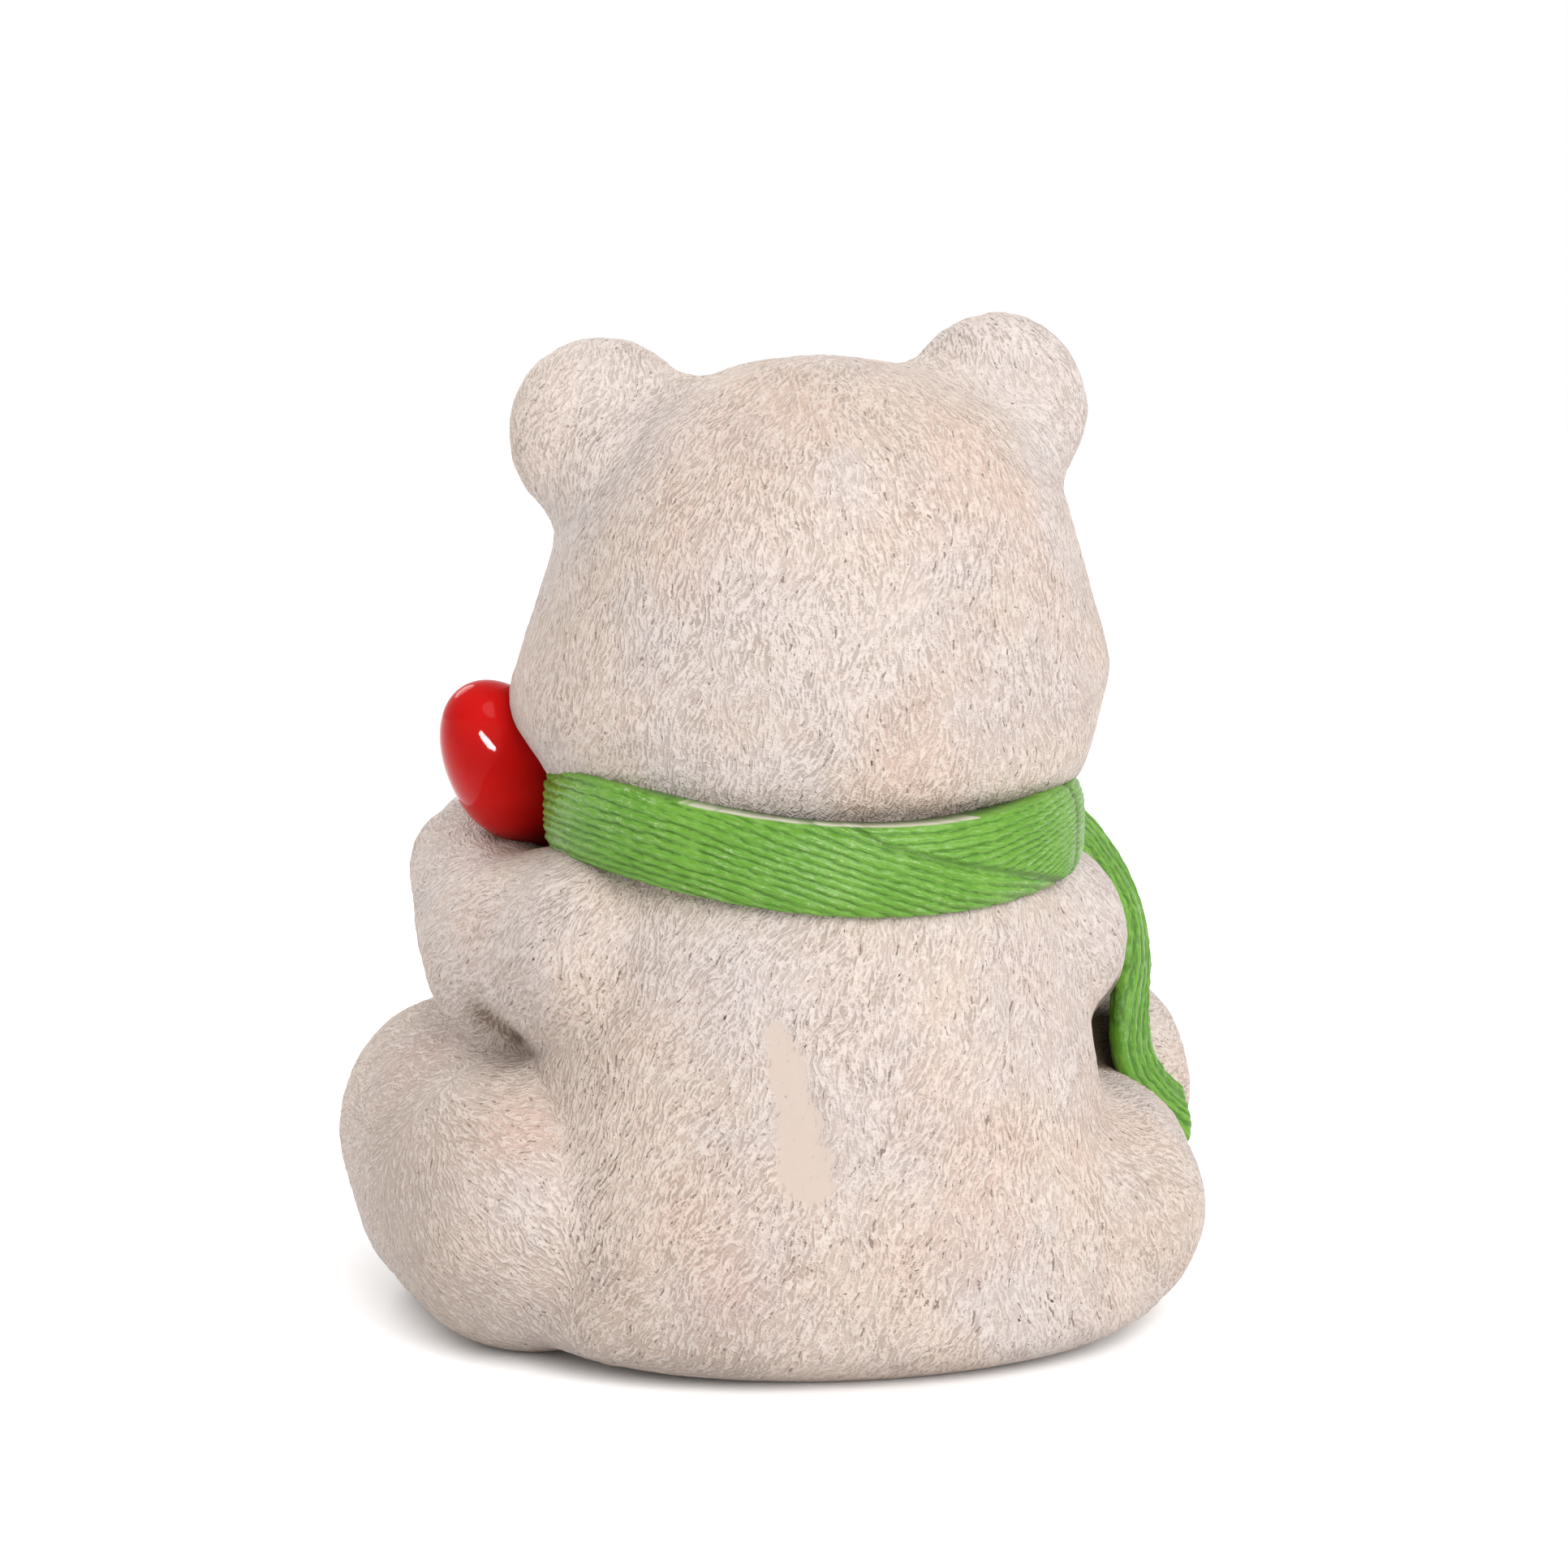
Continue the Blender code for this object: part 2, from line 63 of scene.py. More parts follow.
def add_mass(clay, *balls):
    """The smooth hull around some balls of clay."""
    lump = bmesh.new()
    for centre, radii in balls:
        add_ball(lump, centre, radii)
    spots = [vert.co.copy() for vert in lump.verts]
    lump.free()
    hull = bmesh.new()
    for spot in spots:
        hull.verts.new(spot)
    bmesh.ops.convex_hull(hull, input=hull.verts)
    bmesh.ops.delete(hull, geom=[v for v in hull.verts if not v.link_faces], context="VERTS")
    skin = bpy.data.meshes.new("hull")
    hull.to_mesh(skin)
    hull.free()
    clay.from_mesh(skin)
    bpy.data.meshes.remove(skin)


def add_limb(clay, start, start_radius, end, end_radius):
    add_mass(clay, (start, [start_radius] * 3), (end, [end_radius] * 3))


HEAD_PIVOT = (-3.5, 6, 196)
HEAD_ROLL = math.radians(3.2)
NOSE_LINE = HEAD_PIVOT[0]       # the plane that halves the face
MUZZLE = ((NOSE_LINE, -68, 195), (31, 30, 21))
FOOT_MIDDLE = 84
TOE_PITCH = 16.5
TOE_DROP = 0.42                 # fall of the outer toes for each step to the side
CREASE_HALF_WIDTH = 1.5


def roll_head(bm, first=0):
    bm.verts.ensure_lookup_table()
    roll = Matrix.Rotation(HEAD_ROLL, 3, "Y")
    bmesh.ops.rotate(bm, cent=on_grid(HEAD_PIVOT), matrix=roll, verts=bm.verts[first:])


clay = bmesh.new()

hips = ((1, 30, 46), (88, 62, 50))
add_mass(clay, hips, ((-1, 28, 84), (75, 62, 44)), ((-1, 20, 122), (76, 62, 42)))
add_mass(clay, hips, ((-6, 28, 14), (98, 62, 20)))
add_ball(clay, (0, -8, 74), (66, 58, 58))
add_mass(clay, ((-1, 8, 150), (70, 62, 24)), ((-1, 12, 136), (72, 64, 24)))

left_haunch = ((82, 4, 44), (46, 56, 44))
left_haunch_low = ((82, 3, 23), (38, 46, 26))
left_knee = ((92, -58, 50), (41.5, 42, 43))
left_knee_low = ((93, -50, 26), (35, 43, 27))
add_mass(clay, left_haunch, left_haunch_low, left_knee, left_knee_low)
right_haunch = ((-80, 12, 35), (40, 50, 38))
right_haunch_low = ((-78, 8, 20), (36, 46, 23))
right_knee = ((-98, -60, 55), (42, 41, 43))
right_knee_low = ((-91, -54, 20), (31, 40, 23))
add_mass(clay, right_haunch, right_haunch_low, right_knee_low, ((-91, -40, 38), (40, 40, 34)))
add_mass(clay, ((-88, -40, 40), (36, 36, 36)), right_knee, right_knee_low)
add_mass(clay, right_haunch, right_haunch_low, ((-20, 36, 42), (60, 54, 46)))
for side in (1, -1):
    add_limb(clay, (side * 90, -66, 42), 38, (side * 82, -100, 30), 29)
    add_mass(clay, ((side * 82, -106, 24), (28, 20, 25)), ((side * 84, -112, 50), (33, 16, 27)))
    for toe in range(4):
        lean = (toe - 1.5) * TOE_PITCH
        add_ball(clay, (side * FOOT_MIDDLE + lean, -118, 71 - abs(lean) * TOE_DROP), (9.5, 11, 11))

add_mass(clay, ((64, 22, 118), (30, 32, 32)), ((83, -8, 113), (30, 32, 30)))
add_limb(clay, (86, -18, 116), 27, (90, -60, 131), 21)
add_ball(clay, (84, -71, 136), (19, 17, 20))
add_mass(clay, ((-64, 22, 118), (29, 30, 30)), ((-80, -24, 109), (27, 28, 28)))
add_limb(clay, (-74, -28, 104), 25, (6, -75, 104), 20)
add_ball(clay, (30, -77, 111), (23, 18, 19))
for finger in range(4):
    add_ball(clay, (70, -81, 123 + finger * 9), (13, 8, 6), (0, 0, 20))
    add_ball(clay, (45, -85, 98 + finger * 8.5), (14, 8.5, 6), (0, 0, -8))

first = len(clay.verts)
add_mass(clay, ((NOSE_LINE, 10, 228.5), (77, 68, 60.5)), ((NOSE_LINE + 2, 5, 193), (90, 68, 36)),
         ((NOSE_LINE, 8, 168), (79, 65, 23)))
for side in (1, -1):
    add_ball(clay, (NOSE_LINE + side * 59, 2, 269.5), (28.2, 16, 29))
    add_ball(clay, (NOSE_LINE + side * 50, 5, 254), (28, 26, 27))
    add_ball(clay, (NOSE_LINE + side * 38, 5, 262), (24, 24, 24))
    add_ball(clay, (NOSE_LINE + side * 27, -45, 233), (15, 13, 9), (0, side * 12, 0))
    add_ball(clay, (NOSE_LINE + side * 34, -40, 192), (30, 26, 25))
add_mass(clay, ((NOSE_LINE, -40, 214), (22, 24, 20)), ((NOSE_LINE, -78, 204), (17, 18, 15)))
add_ball(clay, *MUZZLE)
add_ball(clay, (NOSE_LINE, -78, 183), (17, 16, 12))
roll_head(clay, first)

lump_mesh = bpy.data.meshes.new("clay")
clay.to_mesh(lump_mesh)
clay.free()
lump = bpy.data.objects.new("clay", lump_mesh)
bpy.context.scene.collection.objects.link(lump)


def mesh_of(piece):
    """The piece's mesh with its modifiers worked in."""
    bpy.context.view_layer.update()
    graph = bpy.context.evaluated_depsgraph_get()
    return bpy.data.meshes.new_from_object(piece.evaluated_get(graph))


def spots_of(mesh):
    """Vertex places on the grid."""
    flat = np.empty(len(mesh.vertices) * 3, np.float32)
    mesh.vertices.foreach_get("co", flat)
    return flat.reshape(-1, 3).astype(float) / GRID + MIDDLE


def move_to(mesh, spots):
    flat = ((spots - MIDDLE) * GRID).astype(np.float32).ravel()
    mesh.vertices.foreach_set("co", flat)
    mesh.update()


def normals_of(mesh):
    flat = np.empty(len(mesh.vertices) * 3, np.float32)
    mesh.vertex_normals.foreach_get("vector", flat)
    return flat.reshape(-1, 3).astype(float)


def rolled(point):
    """Where a point of the head goes when the head is tipped."""
    x, y, z = np.asarray(point, float) - HEAD_PIVOT
    turn_cos, turn_sin = math.cos(HEAD_ROLL), math.sin(HEAD_ROLL)
    return np.array([x * turn_cos + z * turn_sin, y, z * turn_cos - x * turn_sin]) + HEAD_PIVOT


fuse = lump.modifiers.new("fuse", "REMESH")
fuse.mode = "VOXEL"
fuse.voxel_size = CLAY_GRAIN
lump.data = mesh_of(lump)
lump.modifiers.clear()

# Thumb hollows in the front of the ears
spots = spots_of(lump.data)
for side in (1, -1):
    centre = rolled((NOSE_LINE + side * 61, -16, 270))
    radii = np.array([18, 11, 19])
    reach = np.linalg.norm((spots - centre) / radii, axis=1)
    inside = reach < 1
    spots[inside] = centre + (spots[inside] - centre) / np.maximum(reach[inside], 0.05)[:, None]
move_to(lump.data, spots)

soften = lump.modifiers.new("soften", "SMOOTH")
soften.factor = 0.5
soften.iterations = FILLET_ROUNDS
finer = lump.modifiers.new("finer", "SUBSURF")
finer.levels = finer.render_levels = 1
casting = mesh_of(lump)
# The same skin rubbed much flatter shows where the creases lie
soften.iterations = FILLET_ROUNDS * 12
rubbed = mesh_of(lump)
bpy.data.objects.remove(lump)

spots = spots_of(casting)
normals = normals_of(casting)
depth_in_crease = np.einsum("ij,ij->i", spots_of(rubbed) - spots, normals)
bpy.data.meshes.remove(rubbed)


def ramp(value, low, high):
    """0 below low, 1 above high, and smooth between."""
    share = np.clip((value - low) / (high - low), 0, 1)
    return share * share * (3 - 2 * share)


def grain(places, seed):
    """Smooth noise from -1 to 1, with a cell one unit wide."""
    cell = np.floor(places).astype(np.int64)
    part = places - cell
    part = part * part * (3 - 2 * part)
    total = np.zeros(places.shape[:-1])
    for corner in range(8):
        step = np.array([corner & 1, corner >> 1 & 1, corner >> 2 & 1])
        x, y, z = np.moveaxis(cell + step & 0xffff, -1, 0).astype(np.uint32)
        mix = x * np.uint32(374761393) + y * np.uint32(668265263) + z * np.uint32(2246822519)
        mix += np.uint32(seed * 3266489917 & 0xffffffff)
        mix = (mix ^ mix >> np.uint32(13)) * np.uint32(1274126177)
        mix ^= mix >> np.uint32(16)
        near = np.where(step == 1, part, 1 - part).prod(axis=-1)
        total += near * (mix / 2147483648.0 - 1)
    return total


def near_line(places, start, end, radius):
    """Distance outside a round bar from start to end."""
    start, end = np.asarray(start, float), np.asarray(end, float)
    along = end - start
    share = np.clip((places - start) @ along / max(along @ along, 1e-9), 0, 1)
    return np.linalg.norm(places - start - share[:, None] * along, axis=1) - radius


# Which way the strokes run: down the back, back over the crown from the nose, out along the limbs
head_heart = np.array([NOSE_LINE, 6, 215.0])
nose_tip = np.array([NOSE_LINE, -95, 204.0])
down = np.array([0, 0, -1.0])
from_head = spots - head_heart
behind = ramp(spots[:, 1], -25, 20)[:, None]
over_head = (1 - behind) * (spots - nose_tip) / 60 + behind * (down + from_head * [0.006, 0, 0])
thigh_back = ramp(spots[:, 1], -10, 25)[:, None]
over_thigh = (1 - thigh_back) * ((spots - [56, 66, 96]) / 60 + [0, -0.5, -0.1])
over_thigh += thigh_back * ([-0.9, 0.2, -0.4] + (spots[:, :1] - 80) * [0, 0, -0.02])
regions = [
    ((NOSE_LINE, 6, 215), (NOSE_LINE, 6, 216), 76, over_head),
    ((0, 28, 50), (0, 22, 125), 75, down + [0.3, 0, 0] + spots * [0.006, 0, 0]),
    ((66, 18, 118), (86, -18, 116), 28, np.array([0.25, -0.6, -0.6])),
    ((86, -18, 116), (90, -66, 132), 22, np.array([0.1, -1, 0.1])),
    ((-66, 18, 118), (-78, -26, 106), 27, np.array([-0.15, -0.5, -0.9])),
    ((-78, -26, 106), (0, -80, 100), 21, np.array([0.8, -0.6, -0.3])),
    ((82, 4, 44), (92, -58, 50), 44, over_thigh),
    ((-80, 12, 36), (-98, -60, 54), 42, (spots - [-48, 62, 78]) / 60 + [0, -0.5, -0.25]),
    ((83, -104, 38), (83, -112, 50), 28, np.array([0, -1, 0.3])),
    ((-83, -104, 38), (-83, -112, 50), 28, np.array([0, -1, 0.3])),
]
flow = np.zeros_like(spots)
for start, end, radius, way in regions:
    closeness = np.exp(-np.maximum(near_line(spots, start, end, radius), -6) / 2.8)
    flow += closeness[:, None] * way


def lay_flat(ways, normals):
    """Ways turned into the surface, one unit long."""
    ways = ways - np.einsum("ij,ij->i", ways, normals)[:, None] * normals
    return ways / np.maximum(np.linalg.norm(ways, axis=1), 1e-6)[:, None]


flow = lay_flat(flow, normals)
swing = 0.45 * grain(spots / 15, 3) + 0.25 * grain(spots / 7, 4) + 0.55 * grain(spots / 3.2, 5)
flow = flow * np.cos(swing)[:, None] + np.cross(normals, flow) * np.sin(swing)[:, None]


def strokes(places, flow, width, length, seed):
    """Noise drawn out along the flow: about -1 to 1, `width` across and `length` along."""
    total = np.zeros(len(places))
    for shift in np.linspace(-0.5, 0.5, 7):
        total += grain((places + flow * (shift * length)) / width, seed)
    return np.clip(total / 7 * 2.4, -1, 1)


# The carving fades on the base and on a bare patch of the back
BARE_PATCH = ((25, 88, 103), 3.5, (18, 92, 64), 7.5)
start, start_radius, end, end_radius = BARE_PATCH
patch_run = (np.array(end) - start)
share = np.clip((spots - start) @ patch_run / (patch_run @ patch_run), 0, 1)
patch_width = start_radius + (end_radius - start_radius) * share
from_patch = np.linalg.norm((spots - start - share[:, None] * patch_run) * [1, 0.3, 1], axis=1) - patch_width
bare = 1 - ramp(from_patch + 1.6 * grain(spots / 5, 9), -2.5, 3.0)
carved = (1 - bare) * ramp(spots[:, 2], 0.5, 4)

tufts = strokes(spots, flow, 1.9, 3.4, 11)
cuts = strokes(spots, flow, 1.4, 2.4, 12)
groove = ramp(0.35 - np.abs(cuts), 0.0, 0.35) * ramp(grain(spots / 4, 13), -0.6, 0.2)
lift = 0.14 * tufts - 0.20 * groove + 0.5 * grain(spots / 17, 14)
relief = lift * carved

# A pit where the left arm, the thigh and the back meet, with the clay rubbed smooth just below it
from_pit = near_line(spots, (89, 21, 91), (97, 18, 98), 0)
relief -= 1.2 * np.exp(-(from_pit / 4.5) ** 2)
below_pit = near_line(spots, (81, 31, 86), (84, 27, 88), 0)
relief += 2.2 * np.exp(-(below_pit / 5.5) ** 2)

# Creases between fingers and between toes: centre, radii and turn of each thin lens
lenses = []
for gap in range(3):
    lenses.append(((68, -88.5, 127.5 + gap * 9), (16, 5, CREASE_HALF_WIDTH), math.radians(20)))
    lenses.append(((45, -93.5, 102 + gap * 8.5), (16, 5, CREASE_HALF_WIDTH), math.radians(-8)))
    lean = (gap - 1) * TOE_PITCH
    for side in (1, -1):
        middle = (side * FOOT_MIDDLE + lean, -128.5, 81.5 - abs(lean) * TOE_DROP)
        lenses.append((middle, (CREASE_HALF_WIDTH, 10, 10), 0.0))
parted = np.zeros(len(spots))
for centre, radii, turn in lenses:
    x, y, z = (spots - centre).T
    x, y = x * math.cos(turn) + y * math.sin(turn), y * math.cos(turn) - x * math.sin(turn)
    local = np.stack([x, y, z], -1) / radii
    thin = radii.index(CREASE_HALF_WIDTH)
    flat_reach = np.linalg.norm(np.delete(local, thin, axis=1), axis=1)
    parted = np.maximum(parted, np.exp(-local[:, thin] ** 2) * (1 - ramp(flat_reach, 0.7, 1.3)))
relief = relief * (1 - parted) - 2.4 * parted

# The mouth is a cut line that follows the muzzle, and one up to the nose
def on_muzzle(across, drop):
    centre, radii = MUZZLE
    side, dip = math.radians(across), math.radians(drop)
    ahead = np.array([math.sin(side) * math.cos(dip), -math.cos(side) * math.cos(dip), -math.sin(dip)])
    return rolled(np.array(centre) + ahead * radii)


smile = [on_muzzle(angle, 34 - 16 * (abs(angle) / 48) ** 1.6) for angle in range(-48, 49, 8)]
parting = [on_muzzle(0, drop) for drop in (2, 12, 22, 34)]
from_mouth = np.full(len(spots), 99.0)
for line in (smile, parting):
    for start, end in zip(line, line[1:]):
        from_mouth = np.minimum(from_mouth, near_line(spots, start, end, 0))
mouth = np.exp(-(from_mouth / 1.7) ** 2)
relief = relief * (1 - mouth) - 1.7 * mouth

spots = spots + normals * relief[:, None]
spots[:, 2] = np.maximum(spots[:, 2], 0)
move_to(casting, spots)
normals = normals_of(casting)

# Where the painter left more wash, a frosting or a blush of pink, and where shade is painted in creases, pits
# and hollows and over the left thigh and the low back
# Creases and the gaps between fingers and toes: wash, deepened with painted shade
crease_wash_and_shade = np.clip(ramp(depth_in_crease, 0.6, 5.5) + 0.8 * parted, 0, 1)


def wash_and_shade_streaks(*streaks):
    """0 to 1 along some streaks, each given as (start, end, radius); it lays the wash, the frosting and the
    painted shade.
    """
    most = np.zeros(len(spots))
    for start, end, radius in streaks:
        most = np.maximum(most, np.exp(-(near_line(spots, start, end, 0) / radius) ** 2))
    return most


# The hip pit: wash and stipple, with painted shade at its dark heart
hip_pit_wash_and_shade = wash_and_shade_streaks(((91, 19, 92), (99, 16, 98), 7))
pit_heart_shade = wash_and_shade_streaks(((89, 19.5, 92), (89.5, 20, 90), 2.6))
# A painted shadow in the deep hollow between the body, the right thigh and the long end of the scarf
shadow_behind_end = ramp(wash_and_shade_streaks(((-84, 26, 97), (-101, -24, 75), 12.5)), 0.3, 0.6)
washed = wash_and_shade_streaks(((72, 56, 108), (72, 64, 30), 12), ((92, 26, 86), (100, 20, 84), 13))
washed = np.maximum(washed, 0.5 * wash_and_shade_streaks(((-20, 90, 34), (-60, 80, 26), 14),
                                          ((40, 88, 60), (-10, 92, 40), 18)))
frosted = wash_and_shade_streaks(((60, 2, 274), (56, 8, 258), 26), ((-52, 10, 280), (-60, 10, 262), 24),
                  ((30, 70, 226), (4, 78, 210), 20), ((52, 30, 196), (60, 20, 190), 18))
# Painted shade over the left thigh and the low back
shade_on_left_and_low = wash_and_shade_streaks(((112, 0, 60), (104, 20, 24), 36), ((84, 40, 20), (40, 80, 8), 16))
worn = np.zeros(len(spots))
for centre, radius in (((112, -20, 81), 17), ((92, 45, 69), 12), ((39, 88, 30), 13), ((-60, -40, 182), 22),
                       ((52, -42, 184), 22)):
    worn = np.maximum(worn, np.exp(-(np.linalg.norm(spots - centre, axis=1) / radius) ** 2))
for side in (1, -1):
    ear_front = rolled((NOSE_LINE + side * 61, -8, 269))
    worn = np.maximum(worn, 1.3 * np.exp(-(np.linalg.norm((spots - ear_front) / [13, 7, 14], axis=1)) ** 4))

faces = np.empty(len(casting.loops), np.int32)
casting.loops.foreach_get("vertex_index", faces)
faces = faces.reshape(-1, 4)
bpy.data.meshes.remove(casting)


def piece_of_skin(name, faces, spots, values, normals=None):
    """A mesh object from places on the grid, faces of four corners, and named values at each point."""
    used, corners = np.unique(faces, return_inverse=True)
    mesh = bpy.data.meshes.new(name)
    mesh.vertices.add(len(used))
    mesh.loops.add(faces.size)
    mesh.polygons.add(len(faces))
    mesh.vertices.foreach_set("co", ((spots[used] - MIDDLE) * GRID).astype(np.float32).ravel())
    mesh.loops.foreach_set("vertex_index", corners.astype(np.int32).ravel())
    mesh.polygons.foreach_set("loop_start", np.arange(0, faces.size, faces.shape[1], dtype=np.int32))
    mesh.update(calc_edges=True)
    for label, value in values.items():
        if value.ndim == 2:
            layer = mesh.attributes.new(label, "FLOAT_VECTOR", "POINT")
            layer.data.foreach_set("vector", value[used].astype(np.float32).ravel())
        else:
            layer = mesh.attributes.new(label, "FLOAT", "POINT")
            layer.data.foreach_set("value", value[used].astype(np.float32))
    mesh.shade_smooth()
    if normals is not None:
        mesh.normals_split_custom_set_from_vertices(normals[used].astype(np.float32))
    piece = bpy.data.objects.new(name, mesh)
    bpy.context.scene.collection.objects.link(piece)
    return piece


def node(tree, kind, inputs=None, **settings):
    """A shader node; an input is a value, or the socket that feeds it."""
    new = tree.nodes.new(kind)
    for name, value in settings.items():
        setattr(new, name, value)
    for key, value in (inputs or {}).items():
        if isinstance(value, bpy.types.NodeSocket):
            tree.links.new(value, new.inputs[key])
        else:
            new.inputs[key].default_value = value
    return new


def maths(tree, operation, a, b=0.0, clamp=False):
    return node(tree, "ShaderNodeMath", {0: a, 1: b}, operation=operation, use_clamp=clamp).outputs[0]


def blend(tree, share, under, over, mode="MIX"):
    """One colour over another by a share; colours are sockets or linear RGB."""
    new = tree.nodes.new("ShaderNodeMix")
    new.data_type = "RGBA"
    new.blend_type = mode
    for key, value in ((0, share), (6, under), (7, over)):
        if isinstance(value, bpy.types.NodeSocket):
            tree.links.new(value, new.inputs[key])
        else:
            new.inputs[key].default_value = value if key == 0 else (*value, 1.0)
    return new.outputs[2]


def at_point(tree, name, part="Fac"):
    return node(tree, "ShaderNodeAttribute", attribute_name=name).outputs[part]


def steps(tree, value, low, high):
    return node(tree, "ShaderNodeMapRange", {"Value": value, "From Min": low, "From Max": high},
                interpolation_type="SMOOTHSTEP").outputs[0]


def noise(tree, where, scale, detail=2.0, rough=0.5):
    return node(tree, "ShaderNodeTexNoise", {"Vector": where, "Scale": scale, "Detail": detail,
                                             "Roughness": rough}).outputs["Fac"]


def new_paint(name, roughness):
    paint = bpy.data.materials.new(name)
    paint.use_nodes = True
    shader = paint.node_tree.nodes["Principled BSDF"]
    shader.inputs["Roughness"].default_value = roughness
    return paint, paint.node_tree, shader


STUDIO_LIGHT = 1.78             # what the sky and the sun add up to on a surface that faces the camera


def seen(red, green, blue):
    """The linear colour of a paint that looks like this, 0 to 255, in the studio's light."""
    screen = [level / 255 for level in (red, green, blue)]
    linear = [level / 12.92 if level <= 0.04045 else ((level + 0.055) / 1.055) ** 2.4 for level in screen]
    return tuple(level / STUDIO_LIGHT for level in linear)


cream, tree, shader = new_paint("cream_paint", 0.6)
shader.inputs["Specular IOR Level"].default_value = 0.3
place = node(tree, "ShaderNodeTexCoord").outputs["Object"]
ripples = node(tree, "ShaderNodeTexNoise", {"Vector": place, "Scale": 1 / 0.0022, "Detail": 0.0})
wobble = node(tree, "ShaderNodeVectorMath", {0: ripples.outputs["Color"], "Scale": 0.0009}, operation="SCALE")
wavy_place = node(tree, "ShaderNodeVectorMath", {0: place, 1: wobble.outputs[0]}, operation="ADD").outputs[0]
flow_here = at_point(tree, "flow", "Vector")


def drawn_out(tree, scale, reach, shifts):
    """Fine noise drawn out along the strokes of the fur."""
    total = None
    for shift in shifts:
        slide = node(tree, "ShaderNodeVectorMath", {0: flow_here, "Scale": shift * reach}, operation="SCALE")
        where = node(tree, "ShaderNodeVectorMath", {0: wavy_place, 1: slide.outputs[0]}, operation="ADD")
        sample = noise(tree, where.outputs[0], scale, 0.0)
        total = sample if total is None else maths(tree, "ADD", total, sample)
    return maths(tree, "MULTIPLY", total, 1 / len(shifts))


fine = drawn_out(tree, 1 / 0.0008, 0.0021, (-0.5, -0.17, 0.17, 0.5))
frayed = maths(tree, "MULTIPLY", maths(tree, "SUBTRACT", fine, 0.5), 3.0)
ragged = maths(tree, "ADD", at_point(tree, "bare"), frayed)
bare_here = steps(tree, ragged, 0.3, 0.75)
furred = maths(tree, "SUBTRACT", 1.0, bare_here, clamp=True)
groove_here = maths(tree, "MULTIPLY", steps(tree, fine, 0.485, 0.415), furred)
ridge_here = maths(tree, "MULTIPLY", steps(tree, fine, 0.50, 0.58), furred)
patchy = steps(tree, noise(tree, place, 1 / 0.016, 2.0), 0.38, 0.66)

tint = steps(tree, noise(tree, place, 1 / 0.045, 3.0), 0.36, 0.64)
colour = blend(tree, tint, seen(232, 211, 196), seen(229, 216, 211))
shade = steps(tree, noise(tree, place, 1 / 0.022, 3.0), 0.45, 0.75)
colour = blend(tree, maths(tree, "MULTIPLY", shade, 0.5), colour, seen(213, 190, 174))
blush = steps(tree, noise(tree, place, 1 / 0.06, 2.0), 0.50, 0.66)
colour = blend(tree, maths(tree, "MULTIPLY", blush, 0.4), colour, seen(228, 194, 176))
colour = blend(tree, maths(tree, "MULTIPLY", at_point(tree, "frosted"), 0.55), colour, seen(241, 231, 227))
# Painted shade over the left thigh and the low back; the wash is weaker there too
shade_on_left_and_low_here = at_point(tree, "shade_on_left_and_low")
colour = blend(tree, maths(tree, "MULTIPLY", shade_on_left_and_low_here, 0.9), colour, seen(194, 175, 161))
colour = blend(tree, maths(tree, "MULTIPLY", bare_here, 0.9), colour, seen(220, 201, 188))
worn_here = at_point(tree, "worn")
colour = blend(tree, maths(tree, "MULTIPLY", worn_here, 0.35, clamp=True), colour, seen(226, 178, 164))
colour = blend(tree, maths(tree, "MULTIPLY", ridge_here, 0.5), colour, seen(243, 231, 222))
wash = maths(tree, "MULTIPLY", groove_here, maths(tree, "ADD", maths(tree, "MULTIPLY", patchy, 0.3), 0.34))
wash = maths(tree, "MULTIPLY", wash, maths(tree, "SUBTRACT", 1.0, maths(tree, "MULTIPLY", shade_on_left_and_low_here, 0.45)))
colour = blend(tree, wash, colour, seen(168, 149, 136))
deeper = maths(tree, "MULTIPLY", at_point(tree, "groove"), 0.10)
colour = blend(tree, deeper, colour, seen(150, 128, 114))
# Wash and painted shade in the creases
colour = blend(tree, maths(tree, "MULTIPLY", at_point(tree, "crease_wash_and_shade"), 0.6, clamp=True), colour,
               (0.30, 0.24, 0.21), "MULTIPLY")
dash = drawn_out(tree, 1 / 0.0009, 0.0024, (-0.5, -0.17, 0.17, 0.5))
dash = maths(tree, "ADD", dash, maths(tree, "MULTIPLY", at_point(tree, "washed"), 0.05))
dash_here = maths(tree, "MULTIPLY", steps(tree, dash, 0.622, 0.662), furred)
colour = blend(tree, maths(tree, "MULTIPLY", dash_here, 0.75, clamp=True), colour, seen(128, 106, 94))
speck = steps(tree, drawn_out(tree, 1 / 0.0013, 0.0016, (-0.5, 0, 0.5)), 0.76, 0.80)
colour = blend(tree, maths(tree, "MULTIPLY", speck, furred), colour, seen(96, 78, 68))
# The hip pit: wash and stipple, and painted shade at its heart
pit_wash_and_shade_here = at_point(tree, "hip_pit_wash_and_shade")
colour = blend(tree, maths(tree, "MULTIPLY", pit_wash_and_shade_here, 0.7), colour, seen(150, 126, 104))
stipple = maths(tree, "ADD", pit_wash_and_shade_here, maths(tree, "MULTIPLY", maths(tree, "SUBTRACT", 0.5, fine), 2.2))
colour = blend(tree, maths(tree, "MULTIPLY", steps(tree, stipple, 0.6, 1.1), 0.6), colour, seen(98, 76, 56))
colour = blend(tree, maths(tree, "MULTIPLY", at_point(tree, "pit_heart_shade"), 0.8), colour, seen(74, 54, 36))
